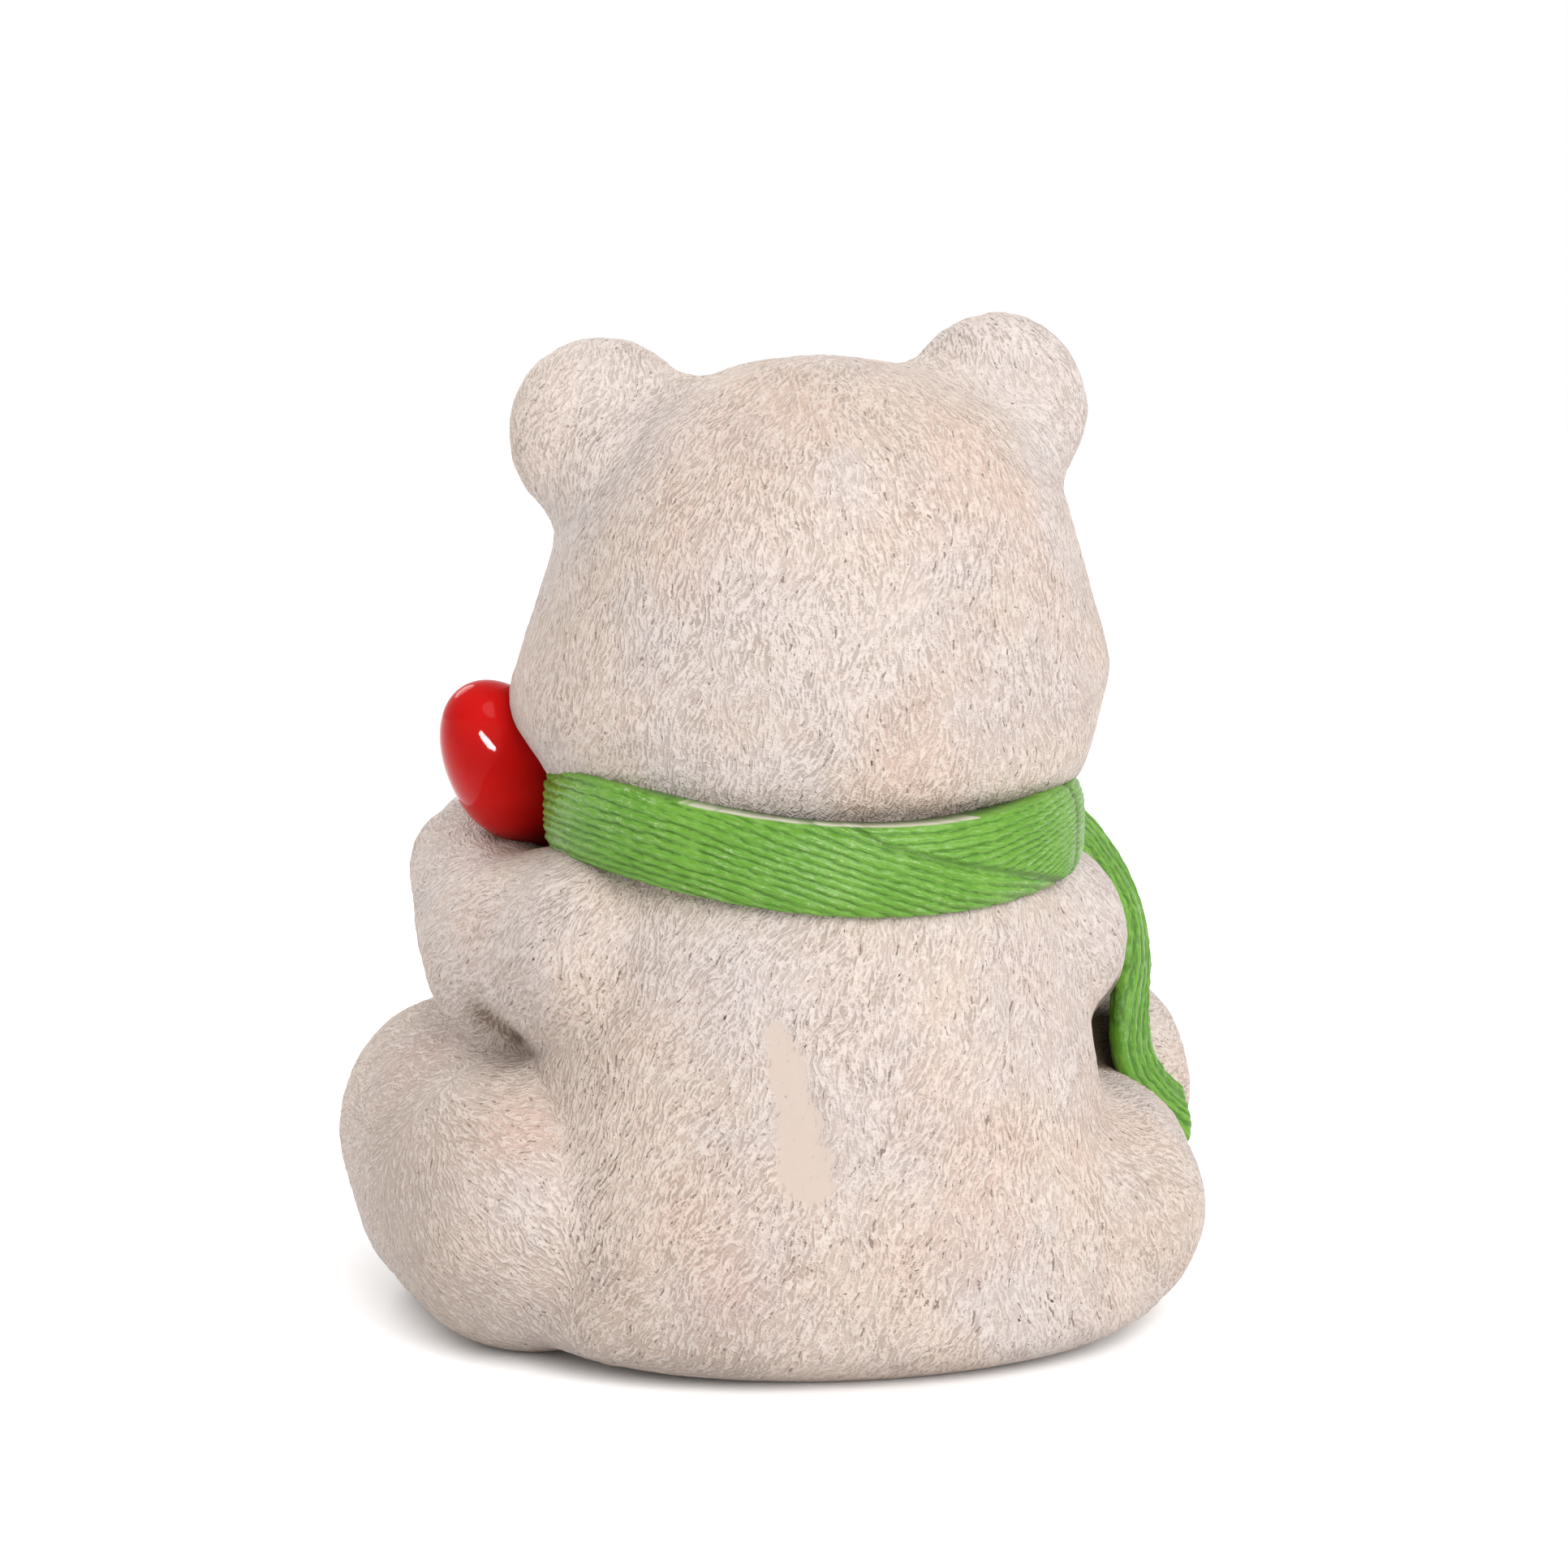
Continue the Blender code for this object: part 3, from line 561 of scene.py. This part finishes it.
# Painted shadow in the hollow behind the long end of the scarf
colour = blend(tree, maths(tree, "MULTIPLY", at_point(tree, "shadow_behind_end"), 0.94), colour, seen(96, 78, 50))
colour = blend(tree, at_point(tree, "ink"), colour, seen(60, 44, 38))
tree.links.new(colour, shader.inputs["Base Color"])
rubbed_bright = maths(tree, "MULTIPLY", ridge_here, 0.12)
tree.links.new(maths(tree, "SUBTRACT", 0.66, rubbed_bright), shader.inputs["Roughness"])
carved_here = maths(tree, "ADD", maths(tree, "MULTIPLY", furred, 0.94), 0.06)
height = maths(tree, "MULTIPLY", steps(tree, fine, 0.40, 0.60), carved_here)
bump = node(tree, "ShaderNodeBump", {"Height": height, "Strength": 1.0, "Distance": 0.0003})
tree.links.new(bump.outputs[0], shader.inputs["Normal"])

# One casting, cut into pieces along its creases only to keep each mesh small
middles = spots[faces].mean(axis=1)
on_head = middles[:, 2] > 158
on_head |= (middles[:, 2] > 148) & (np.abs(middles[:, 0]) < 62)
front_of_head = on_head & (middles[:, 1] < 2)
arms = ~on_head & (middles[:, 2] > 84) & ((np.abs(middles[:, 0]) > 58) | (middles[:, 1] < -58))
left_leg = ~on_head & ~arms & (middles[:, 0] > 50)
right_leg = ~on_head & ~arms & (middles[:, 0] < -50)
rest = ~(on_head | arms | left_leg | right_leg)
values = {"flow": flow, "bare": bare, "groove": groove * carved, "crease_wash_and_shade": crease_wash_and_shade, "hip_pit_wash_and_shade": hip_pit_wash_and_shade,
          "pit_heart_shade": pit_heart_shade, "shadow_behind_end": shadow_behind_end, "washed": washed, "worn": worn,
          "frosted": frosted, "shade_on_left_and_low": shade_on_left_and_low, "ink": ramp(mouth, 0.35, 0.8)}
for name, chosen in (("bear_head", on_head & ~front_of_head), ("bear_face", front_of_head),
                     ("bear_arms", arms), ("bear_left_leg", left_leg), ("bear_right_leg", right_leg),
                     ("bear_body", rest)):
    piece = piece_of_skin(name, faces[chosen], spots, values, normals)
    piece.data.materials.append(cream)
    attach(piece, "root")
    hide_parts("bear")


# Eyes, nose and sole pads
# Raised on the casting. Eyes and nose have gloss dark paint; the pads under the feet are rubbed with
# a matte grey-pink.
EYE = (29, -58.5, 222)
EYE_RADII = (7.5, 5.5, 8)
NOSE_RADII = (13, 8, 9)
PAD_PITCH = 14.5


def add_piece(name, bm, material):
    mesh = bpy.data.meshes.new(name)
    bm.to_mesh(mesh)
    bm.free()
    mesh.shade_smooth()
    mesh.materials.append(material)
    piece = bpy.data.objects.new(name, mesh)
    bpy.context.scene.collection.objects.link(piece)
    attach(piece, "root")
    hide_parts("bear")
    return piece


gloss_dark, tree, shader = new_paint("gloss_dark_paint", 0.08)
place = node(tree, "ShaderNodeTexCoord").outputs["Object"]
uneven = noise(tree, place, 1 / 0.004, 3.0)
tree.links.new(blend(tree, uneven, seen(28, 21, 19), seen(52, 38, 33)), shader.inputs["Base Color"])
dab = node(tree, "ShaderNodeBump", {"Height": uneven, "Strength": 0.1, "Distance": 0.0004})
tree.links.new(dab.outputs[0], shader.inputs["Normal"])

eyes = bmesh.new()
for side in (1, -1):
    add_ball(eyes, (NOSE_LINE + side * EYE[0], *EYE[1:]), EYE_RADII)
roll_head(eyes)
add_piece("bear_eyes", eyes, gloss_dark)

nose = bmesh.new()
nose_place = (NOSE_LINE, -95, 206)
add_ball(nose, nose_place, NOSE_RADII, detail=5)
for vert in nose.verts:
    x, y, z = (vert.co - on_grid(nose_place)) / GRID
    x *= 1 - 0.22 * max(-z, 0) / NOSE_RADII[2]
    for nostril in (-1, 1):
        dent = math.exp(-(((x - nostril * 5.2) / 2.2) ** 2 + ((z + 1.5) / 1.8) ** 2))
        y += 2.2 * dent if y < 0 else 0
    vert.co = on_grid(nose_place) + Vector((x, y, z)) * GRID
roll_head(nose)
add_piece("bear_nose", nose, gloss_dark)

pads = bmesh.new()
for side in (1, -1):
    add_ball(pads, (side * 83, -125, 32), (18, 4.2, 16))
    for toe in range(4):
        lean = (toe - 1.5) * PAD_PITCH
        add_ball(pads, (side * FOOT_MIDDLE + lean, -125, 62 - abs(lean) * TOE_DROP), (5.8, 3.2, 6.2))
pad_paint, tree, shader = new_paint("pad_paint", 0.6)
place = node(tree, "ShaderNodeTexCoord").outputs["Object"]
mottle = noise(tree, place, 1 / 0.006, 4.0, 0.65)
tree.links.new(blend(tree, steps(tree, mottle, 0.3, 0.7), seen(176, 140, 128), seen(212, 174, 160)),
               shader.inputs["Base Color"])
leathery = node(tree, "ShaderNodeTexVoronoi", {"Vector": place, "Scale": 1 / 0.0016}).outputs["Distance"]
grainy = node(tree, "ShaderNodeBump", {"Height": leathery, "Strength": 0.35, "Distance": 0.0003})
tree.links.new(grainy.outputs[0], shader.inputs["Normal"])
add_piece("sole_pads", pads, pad_paint)


# The scarf
# Cast on with the body and painted green: a wool scarf, ribbed along its length, wound once and a bit
# round the neck. The turn that comes over the bear's right shoulder lies over the other one.
NECK_CENTRE = (-0.5, 12)
NECK_RADII = (78.5, 72)
NECK_REACH = 75                 # the mean of the two, to turn angles into lengths along the scarf
SCARF_DEPTH = 19
RIB_PITCH = 2.6
RIB_DEPTH = 1.1
RIB_SLANT = 0.331               # the under turn's ribs run downhill across the back
SLANT_ENDS = (0.55, 1.2465)     # radians over which the slant eases off, left and right of the back
# The edge of the over turn, as degrees from the back and a share of the half width
FOLD = ((4, 1.1), (-3, 0.65), (-21, 0.07), (-38, -0.4), (-52, -0.8), (-63, -1.1))
ROUND_STEPS = 840
WIDTH_STEPS = 66
KNOT_ANGLE = 244
LIMIT_OF_PALE_EDGE = (-26, 41)


def neck_ring(turn):
    """Places and outward directions on the outside of the scarf, by angles from the back."""
    wide, deep = NECK_RADII
    ring = np.stack([NECK_CENTRE[0] + wide * np.sin(turn),
                     NECK_CENTRE[1] + deep * np.cos(turn), 0 * turn], -1)
    outward = np.stack([np.sin(turn) / wide, np.cos(turn) / deep, 0 * turn], -1)
    return ring, outward / np.linalg.norm(outward, axis=-1, keepdims=True)


def scarf_top(turn):
    return 162.5 + 3.5 * np.cos(turn) + 2.5 * np.sin(turn) - 6 * np.cos(2 * turn)


def scarf_low(turn):
    return 135.5 + 5 * np.cos(turn) + 3.5 * np.sin(turn) - 6 * np.cos(2 * turn)


def tube_faces(rows, columns, closed):
    """Corners of the faces between rows of points; each row is a closed ring."""
    row = np.arange(rows if closed else rows - 1)[:, None]
    column = np.arange(columns)[None, :]
    after, beside = (row + 1) % rows, (column + 1) % columns
    corners = [row * columns + column, row * columns + beside,
               after * columns + beside, after * columns + column]
    return np.stack(np.broadcast_arrays(*corners), -1).reshape(-1, 4)


wool, tree, shader = new_paint("green_paint", 0.4)
shader.inputs["Specular IOR Level"].default_value = 0.28
place = node(tree, "ShaderNodeTexCoord").outputs["Object"]
rib_here = at_point(tree, "rib")
strand = at_point(tree, "strand", "Vector")
fibre = noise(tree, strand, 1.0, 3.0, 0.6)
broken = noise(tree, place, 1 / 0.0008, 3.0, 0.6)
blotch = noise(tree, place, 1 / 0.02, 3.0)
colour = blend(tree, steps(tree, blotch, 0.35, 0.65), seen(100, 161, 38), seen(116, 174, 54))
raised = maths(tree, "ADD", rib_here, maths(tree, "MULTIPLY", fibre, 0.9))
colour = blend(tree, steps(tree, raised, 1.05, 0.55), colour, seen(80, 132, 34))
colour = blend(tree, maths(tree, "MULTIPLY", steps(tree, fibre, 0.45, 0.65), 0.4), colour, seen(150, 198, 96))
# Pale dry-brush on the rib crests: partly dry-brushed paint, partly painted glints
dry_brush_and_glints = maths(tree, "MULTIPLY", steps(tree, rib_here, 0.5, 0.95), steps(tree, fibre, 0.44, 0.60))
dry_brush_and_glints = maths(tree, "MULTIPLY", dry_brush_and_glints, steps(tree, broken, 0.42, 0.60))
clustered = steps(tree, noise(tree, place, 1 / 0.014, 2.0), 0.42, 0.62)
clustered = maths(tree, "ADD", maths(tree, "MULTIPLY", clustered, 0.75), 0.15)
dry_brush_and_glints = maths(tree, "MULTIPLY", dry_brush_and_glints, clustered)
colour = blend(tree, dry_brush_and_glints, colour, seen(196, 216, 166))
# Painted shade along the crack where the turns meet and where the long end leaves
colour = blend(tree, at_point(tree, "crack_shade"), colour, (0.10, 0.16, 0.05), "MULTIPLY")
colour = blend(tree, at_point(tree, "pale"), colour, seen(232, 224, 206))
tree.links.new(colour, shader.inputs["Base Color"])
tree.links.new(maths(tree, "ADD", 0.24, maths(tree, "MULTIPLY", fibre, 0.2)), shader.inputs["Roughness"])
height = maths(tree, "ADD", maths(tree, "MULTIPLY", fibre, 0.6), maths(tree, "MULTIPLY", broken, 0.4))
woolly = node(tree, "ShaderNodeBump", {"Height": height, "Strength": 0.5, "Distance": 0.0005})
tree.links.new(woolly.outputs[0], shader.inputs["Normal"])


def ribs_at(count_across, along, across, seed):
    """Rounded ribs with narrow grooves, 0 to 1, a little uneven along their length."""
    sway = 0.30 * grain(np.stack([along / 26, across / 5, 0 * along], -1), seed)
    sway += 0.12 * grain(np.stack([along / 6, across / 2.5, 0 * along], -1), seed + 2)
    sway += 0.10 * grain(np.stack([along / 2.5, across / 1.5, 0 * along], -1), seed + 3)
    tooth = np.abs(np.sin(np.pi * (count_across + sway))) ** 0.8
    crest = 0.85 + 0.15 * grain(np.stack([along / 1.6, across / 1.6, 0 * along], -1), seed + 1)
    filled = ramp(grain(np.stack([along / 7, across / 2.6, 0 * along], -1), seed + 4), -0.2, 0.9)
    return tooth * crest * (1 - filled) + (0.35 + 0.5 * tooth) * crest * filled


def add_wool(name, rings, rib, strand, crack_shade, pale, closed):
    rows, columns = rib.shape
    values = {"rib": rib.ravel(), "strand": strand.reshape(-1, 3), "crack_shade": crack_shade.ravel(), "pale": pale.ravel()}
    piece = piece_of_skin(name, tube_faces(rows, columns, closed), rings.reshape(-1, 3), values)
    if not closed:
        skin = bmesh.new()
        skin.from_mesh(piece.data)
        bmesh.ops.holes_fill(skin, edges=[edge for edge in skin.edges if edge.is_boundary])
        bmesh.ops.recalc_face_normals(skin, faces=skin.faces)
        skin.to_mesh(piece.data)
        skin.free()
        piece.data.shade_smooth()
    piece.data.materials.append(wool)
    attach(piece, "root")
    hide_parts("bear")


turn, share = np.meshgrid(np.linspace(-np.pi, np.pi, ROUND_STEPS, endpoint=False),
                          np.linspace(-1, 1, WIDTH_STEPS), indexing="ij")
degrees = np.degrees(turn)
half = (scarf_top(turn) - scarf_low(turn)) / 2
run = -NECK_REACH * turn
fold_line = np.interp(-degrees, [-entry[0] for entry in FOLD], [entry[1] for entry in FOLD])
fold_line = np.where((degrees < KNOT_ANGLE - 360) | (degrees > FOLD[0][0]), FOLD[0][1], fold_line)
past_fold = (share - fold_line) * half
over = ramp(past_fold, -1.0, 1.4)
# The slant eases off round the sides, and comes out at whole ribs where the ends of the turn meet
slant_end = np.where(turn > 0, *SLANT_ENDS)
lean = NECK_REACH * RIB_SLANT * -slant_end * np.tanh(turn / slant_end)
under_count = (share * half + lean) / RIB_PITCH
gathered = 1 - 0.35 * ramp(-degrees, 25, 61)    # the over turn's ribs draw together at the long end
over_count = (share - 1) * half / (RIB_PITCH * gathered) - 0.012 * run
rib = ribs_at(under_count, run, share * half, 31) * (1 - over)
rib += ribs_at(over_count, run, share * half, 35) * over
# Where the over turn lies on the under turn, and where the long end leaves the turn, a crack is cut in a
# little and darkened with painted shade
shaded_crack = 0.45 * np.exp(-((past_fold + 0.3) / 0.8) ** 2) * (fold_line < 1.05)
tail_start = np.exp(-((degrees - FOLD[-1][0]) / 1.5) ** 2)
shaded_crack = np.maximum(shaded_crack, 0.6 * tail_start)
ring, outward = neck_ring(turn)
fullness = 1 - 0.35 * share ** 4
lift = SCARF_DEPTH / 2 * (fullness - 1) + RIB_DEPTH * rib + 0.9 * over - 1.1 * shaded_crack
outside = ring + outward * lift[..., None]
outside[..., 2] = (scarf_top(turn) + scarf_low(turn)) / 2 + share * half
inside = outside[:, [-1, 0]] - outward[:, [-1, 0]] * 10
rings = np.concatenate([outside, inside], axis=1)


def with_inside(value):
    return np.concatenate([value, np.zeros((len(value), 2))], axis=1)


slant = share * half + lean * (1 - over)
strand = np.stack([run / 3.5, slant / 0.55, over * 7], -1)
strand = np.concatenate([strand, np.zeros((len(strand), 2, 3))], axis=1)
worn_edge = ramp(grain(np.stack([run / 3, share * half / 2, 0 * run], -1), 61), -0.9, -0.2)
at_back = (degrees > LIMIT_OF_PALE_EDGE[0]) & (degrees < LIMIT_OF_PALE_EDGE[1])
pale = ramp(share, 0.968, 0.985) * worn_edge * at_back
add_wool("scarf_turn", rings, with_inside(rib), strand, with_inside(shaded_crack), with_inside(pale), closed=True)


def smooth_route(rows, steps):
    """A Catmull-Rom curve through rows of numbers, `steps` to each span."""
    rows = np.array(rows, float)
    rows = np.concatenate([2 * rows[:1] - rows[1:2], rows, 2 * rows[-1:] - rows[-2:-1]])
    route = []
    for p0, p1, p2, p3 in zip(rows, rows[1:], rows[2:], rows[3:]):
        for t in np.arange(steps) / steps:
            route.append(0.5 * (2 * p1 + (p2 - p0) * t + (2 * p0 - 5 * p1 + 4 * p2 - p3) * t ** 2
                                + (3 * p1 - p0 - 3 * p2 + p3) * t ** 3))
    route.append(rows[-2])
    return np.array(route)


END_THICKNESS = 6.0
END_RIB_PITCH = 4.2
END_RIB_DEPTH = 1.8


def add_hanging_end(name, route, facings, widths, seed):
    """An end of the scarf, ribbed along both faces, with rounded edges."""
    path = smooth_route(route, 22)
    halves = smooth_route([(width,) for width in widths], 22)[:, 0]
    along = np.gradient(path, axis=0)
    along /= np.linalg.norm(along, axis=1)[:, None]
    facing = smooth_route(facings, 22)
    facing -= np.einsum("ij,ij->i", facing, along)[:, None] * along
    facing /= np.linalg.norm(facing, axis=1)[:, None]
    across = np.cross(facing, along)
    run = np.concatenate([[0], np.cumsum(np.linalg.norm(np.diff(path, axis=0), axis=1))])
    around = np.linspace(0, 2 * np.pi, 104, endpoint=False)
    share = np.sign(np.cos(around)) * np.abs(np.cos(around)) ** 0.8
    side = np.sign(np.sin(around))
    run_here, share_here = np.meshgrid(run, share, indexing="ij")
    width_here = share_here * halves[:, None]
    rib = ribs_at(width_here / END_RIB_PITCH + 0.02 * run_here, run_here, width_here, seed)
    plump = np.sqrt(np.clip(1 - np.abs(share_here) ** 4, 0, 1))
    close = np.sqrt(np.clip((run[-1] - run) / 2.5, 0, 1))[:, None]
    lift = side * (END_THICKNESS / 2 * plump * (0.35 + 0.65 * close) + END_RIB_DEPTH * rib * plump)
    rings = path[:, None] + across[:, None] * width_here[..., None] + facing[:, None] * lift[..., None]
    strand = np.stack([run_here / 3.5, width_here / 0.55, side + 0 * run_here], -1)
    quiet = np.zeros_like(rib)
    add_wool(name, rings, rib ** 2.4, strand, quiet, quiet, closed=False)


add_hanging_end(
    "scarf_long_end",
    [(-73, -12, 152), (-85, -17, 147), (-97.5, -22, 135), (-107.5, -24, 119), (-110, -22, 103),
     (-108, -19, 86), (-109, -17, 72), (-116, -18, 61), (-126, -21, 52)],
    [(-0.6, 0.3, 0.8), (-0.7, 0.4, 0.6), (-0.85, 0.4, 0.3), (-0.9, 0.4, 0.1), (-0.85, 0.5, 0),
     (-0.78, 0.6, 0), (-0.7, 0.6, 0.3), (-0.5, 0.5, 0.7), (-0.4, 0.45, 0.8)],
    [9, 11, 12, 12, 11.5, 11, 11, 12, 13.5], 41)
add_hanging_end(
    "scarf_short_end",
    [(-66, -22, 142), (-69, -39, 134), (-68, -56, 124), (-64, -68, 110), (-61, -72, 95)],
    [(-0.6, -0.5, 0.6), (-0.6, -0.6, 0.6), (-0.5, -0.7, 0.6), (-0.5, -0.9, 0.3), (-0.5, -0.9, 0)],
    [7, 9, 11, 12, 12.5], 45)

KNOT_HALF_WIDTH = 10
KNOT_RADII = (13, 17)
knot_turn = math.radians(KNOT_ANGLE)
place_on_ring, knot_outward = neck_ring(np.array(knot_turn))
up = np.array([0, 0, 1.0])
heart = place_on_ring - knot_outward * 4 + up * (scarf_top(knot_turn) + scarf_low(knot_turn)) / 2
knot_along = np.cross(knot_outward, up)
share, around = np.meshgrid(np.linspace(-1, 1, 61),
                            np.linspace(0, 2 * np.pi, 120, endpoint=False), indexing="ij")
wrap = 12 * around
rib = ribs_at(share * KNOT_HALF_WIDTH / RIB_PITCH + 0.5, wrap, share * KNOT_HALF_WIDTH, 51)
fullness = np.sqrt(1 - 0.9 * share ** 4)
out_radius = KNOT_RADII[0] * fullness + RIB_DEPTH * rib * fullness
up_radius = KNOT_RADII[1] * fullness + RIB_DEPTH * rib * fullness
rings = (heart + knot_along * (share * KNOT_HALF_WIDTH)[..., None]
         + knot_outward * (out_radius * np.cos(around))[..., None]
         + up * (up_radius * np.sin(around))[..., None])
strand = np.stack([wrap / 3.5, share * KNOT_HALF_WIDTH / 0.55, 0 * share], -1)
add_wool("scarf_knot", rings, rib, strand, 0 * rib, 0 * rib, closed=False)


# The light bulb
# A big old-style bulb moulded in glossy red plastic, its threaded collar painted a dull silver. It sits
# in the crook of the left arm, against the cheek.
BULB_DIAMETER = 0.038
GLASS_LENGTH = 0.074
COLLAR_DIAMETER = 0.026
COLLAR_LENGTH = 0.022
COLLAR_THREADS = 3
THREAD_DEPTH = 0.0012
BULB_TIP = (99, 2, 189.8)
BULB_FOOT = (60, -63, 131)

radius = BULB_DIAMETER / 2
neck = COLLAR_DIAMETER / 2 - THREAD_DEPTH
widest = 0.56 * GLASS_LENGTH
outline = []
for angle in np.linspace(0, math.pi / 2, 40)[1:]:
    outline.append((radius * math.sin(angle) ** 0.92, widest * (1 - math.cos(angle)), 0.0))
for share in np.linspace(0, 1, 30)[1:]:
    ease = share * share * (3 - 2 * share)
    outline.append((radius + (neck - radius) * ease, widest + (GLASS_LENGTH - widest) * share, 0.0))
for share in np.linspace(0, 1, 72)[1:]:
    swell = 0.5 - 0.5 * math.cos(2 * math.pi * share * (COLLAR_THREADS + 1))
    outline.append((neck + THREAD_DEPTH * swell ** 0.8, GLASS_LENGTH + COLLAR_LENGTH * share, 1.0))
foot = GLASS_LENGTH + COLLAR_LENGTH
outline += [(neck - 0.0006, foot, 1.0), (neck * 0.62, foot, 1.0), (neck * 0.60, foot - 0.0012, 1.0),
            (neck * 0.34, foot - 0.0012, 1.0), (neck * 0.32, foot, 1.0), (neck * 0.1, foot, 1.0)]
sides = np.linspace(0, 2 * np.pi, 128, endpoint=False)
tip = on_grid(BULB_TIP)
down_axis = (on_grid(BULB_FOOT) - tip).normalized()
spin = (-down_axis).to_track_quat("Z", "Y").to_matrix()
rings = []
for reach, depth, _ in outline:
    rings.append([tip + spin @ Vector((reach * math.cos(a), reach * math.sin(a), -depth)) for a in sides])
rings = np.array(rings) / GRID + MIDDLE
collar = np.repeat(np.array([row[2] for row in outline])[:, None], len(sides), axis=1)
bulb = piece_of_skin("red_light_bulb", tube_faces(len(outline), len(sides), False), rings.reshape(-1, 3),
                     {"collar": collar.ravel()})
skin = bmesh.new()
skin.from_mesh(bulb.data)
bmesh.ops.holes_fill(skin, edges=[edge for edge in skin.edges if edge.is_boundary])
bmesh.ops.recalc_face_normals(skin, faces=skin.faces)
skin.to_mesh(bulb.data)
skin.free()
bulb.data.shade_smooth()

red, tree, shader = new_paint("red_gloss", 0.08)
shader.inputs["Specular IOR Level"].default_value = 0.05
place = node(tree, "ShaderNodeTexCoord").outputs["Object"]
cloud = noise(tree, place, 1 / 0.03, 3.0)
colour = blend(tree, steps(tree, cloud, 0.35, 0.65), seen(206, 20, 18), seen(222, 28, 25))
on_collar = at_point(tree, "collar")
scuff = noise(tree, place, 1 / 0.0025, 4.0, 0.65)
silver = blend(tree, steps(tree, scuff, 0.4, 0.62), seen(176, 172, 164), seen(208, 204, 196))
tree.links.new(blend(tree, on_collar, colour, silver), shader.inputs["Base Color"])
tree.links.new(maths(tree, "ADD", 0.07, maths(tree, "MULTIPLY", on_collar, 0.28)), shader.inputs["Roughness"])
tree.links.new(maths(tree, "MULTIPLY", on_collar, 0.85), shader.inputs["Metallic"])
ripple = node(tree, "ShaderNodeBump", {"Height": noise(tree, place, 1 / 0.012, 2.0), "Strength": 0.08,
                                       "Distance": 0.0006})
tree.links.new(ripple.outputs[0], shader.inputs["Normal"])
bulb.data.materials.append(red)
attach(bulb, "root")
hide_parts("light_bulb")


# The room
# A plain pale floor under a white sky, a broad soft sun behind the bear, a weaker one before it, and a
# tall window that lights the bulb alone and draws the long highlight on it.
floor_mesh = bpy.data.meshes.new("floor")
floor_mesh.from_pydata([(-9, -9, 0), (9, -9, 0), (9, 9, 0), (-9, 9, 0)], [], [(0, 1, 2, 3)])
floor = bpy.data.objects.new("floor", floor_mesh)
bpy.context.scene.collection.objects.link(floor)
matte, tree, shader = new_paint("floor", 0.9)
shader.inputs["Base Color"].default_value = (0.95, 0.95, 0.95, 1)
floor_mesh.materials.append(matte)

world = bpy.data.worlds.new("studio")
bpy.context.scene.world = world
world.use_nodes = True
world.node_tree.nodes["Background"].inputs[0].default_value = (1, 1, 1, 1)
world.node_tree.nodes["Background"].inputs[1].default_value = 1.0

CAMERA_TURN = math.radians(168)
CAMERA_RISE = math.radians(7)
CAMERA_REACH = 1.100
aim = on_grid((5.38, -1.14, 162))
back = Vector((math.sin(CAMERA_TURN) * math.cos(CAMERA_RISE), -math.cos(CAMERA_TURN) * math.cos(CAMERA_RISE),
               math.sin(CAMERA_RISE)))
lens = bpy.data.cameras.new("camera")
lens.lens = 85
lens.sensor_width = 36
camera = bpy.data.objects.new("camera", lens)
camera.location = aim + back * CAMERA_REACH
camera.rotation_euler = back.to_track_quat("Z", "Y").to_euler()
bpy.context.scene.collection.objects.link(camera)
bpy.context.scene.camera = camera

# Each sun's strength, spread in degrees and the way its light comes from
SUNS = {"sun": (2.9, 45, (-0.27, 0.80, 0.575)), "front_fill": (1.2, 30, (0.4, -0.9, 0.7))}
for name, (energy, spread, from_way) in SUNS.items():
    lamp = bpy.data.lights.new(name, "SUN")
    lamp.energy = energy
    lamp.angle = math.radians(spread)
    sun = bpy.data.objects.new(name, lamp)
    sun.rotation_euler = Vector(from_way).to_track_quat("Z", "Y").to_euler()
    bpy.context.scene.collection.objects.link(sun)

window_top, window_foot = on_grid((193, 262, 59)), on_grid((73, 167, 6))
window_lamp = bpy.data.lights.new("window", "AREA")
window_lamp.shape = "RECTANGLE"
window_lamp.size, window_lamp.size_y = 0.06, (window_top - window_foot).length
window_lamp.energy = 7.0
window = bpy.data.objects.new("window", window_lamp)
window.location = (window_top + window_foot) / 2
facing = (window.location - on_grid((94, 5, 177))).normalized()
upright = (window_top - window_foot).normalized()
window.rotation_euler = Matrix((upright.cross(facing), upright, facing)).transposed().to_euler()
window.visible_diffuse = False
window.visible_camera = False
bpy.context.scene.collection.objects.link(window)
glossy_things = bpy.data.collections.new("lit_by_window")
glossy_things.objects.link(bulb)
window.light_linking.receiver_collection = glossy_things
bpy.context.scene.view_settings.view_transform = "Standard"
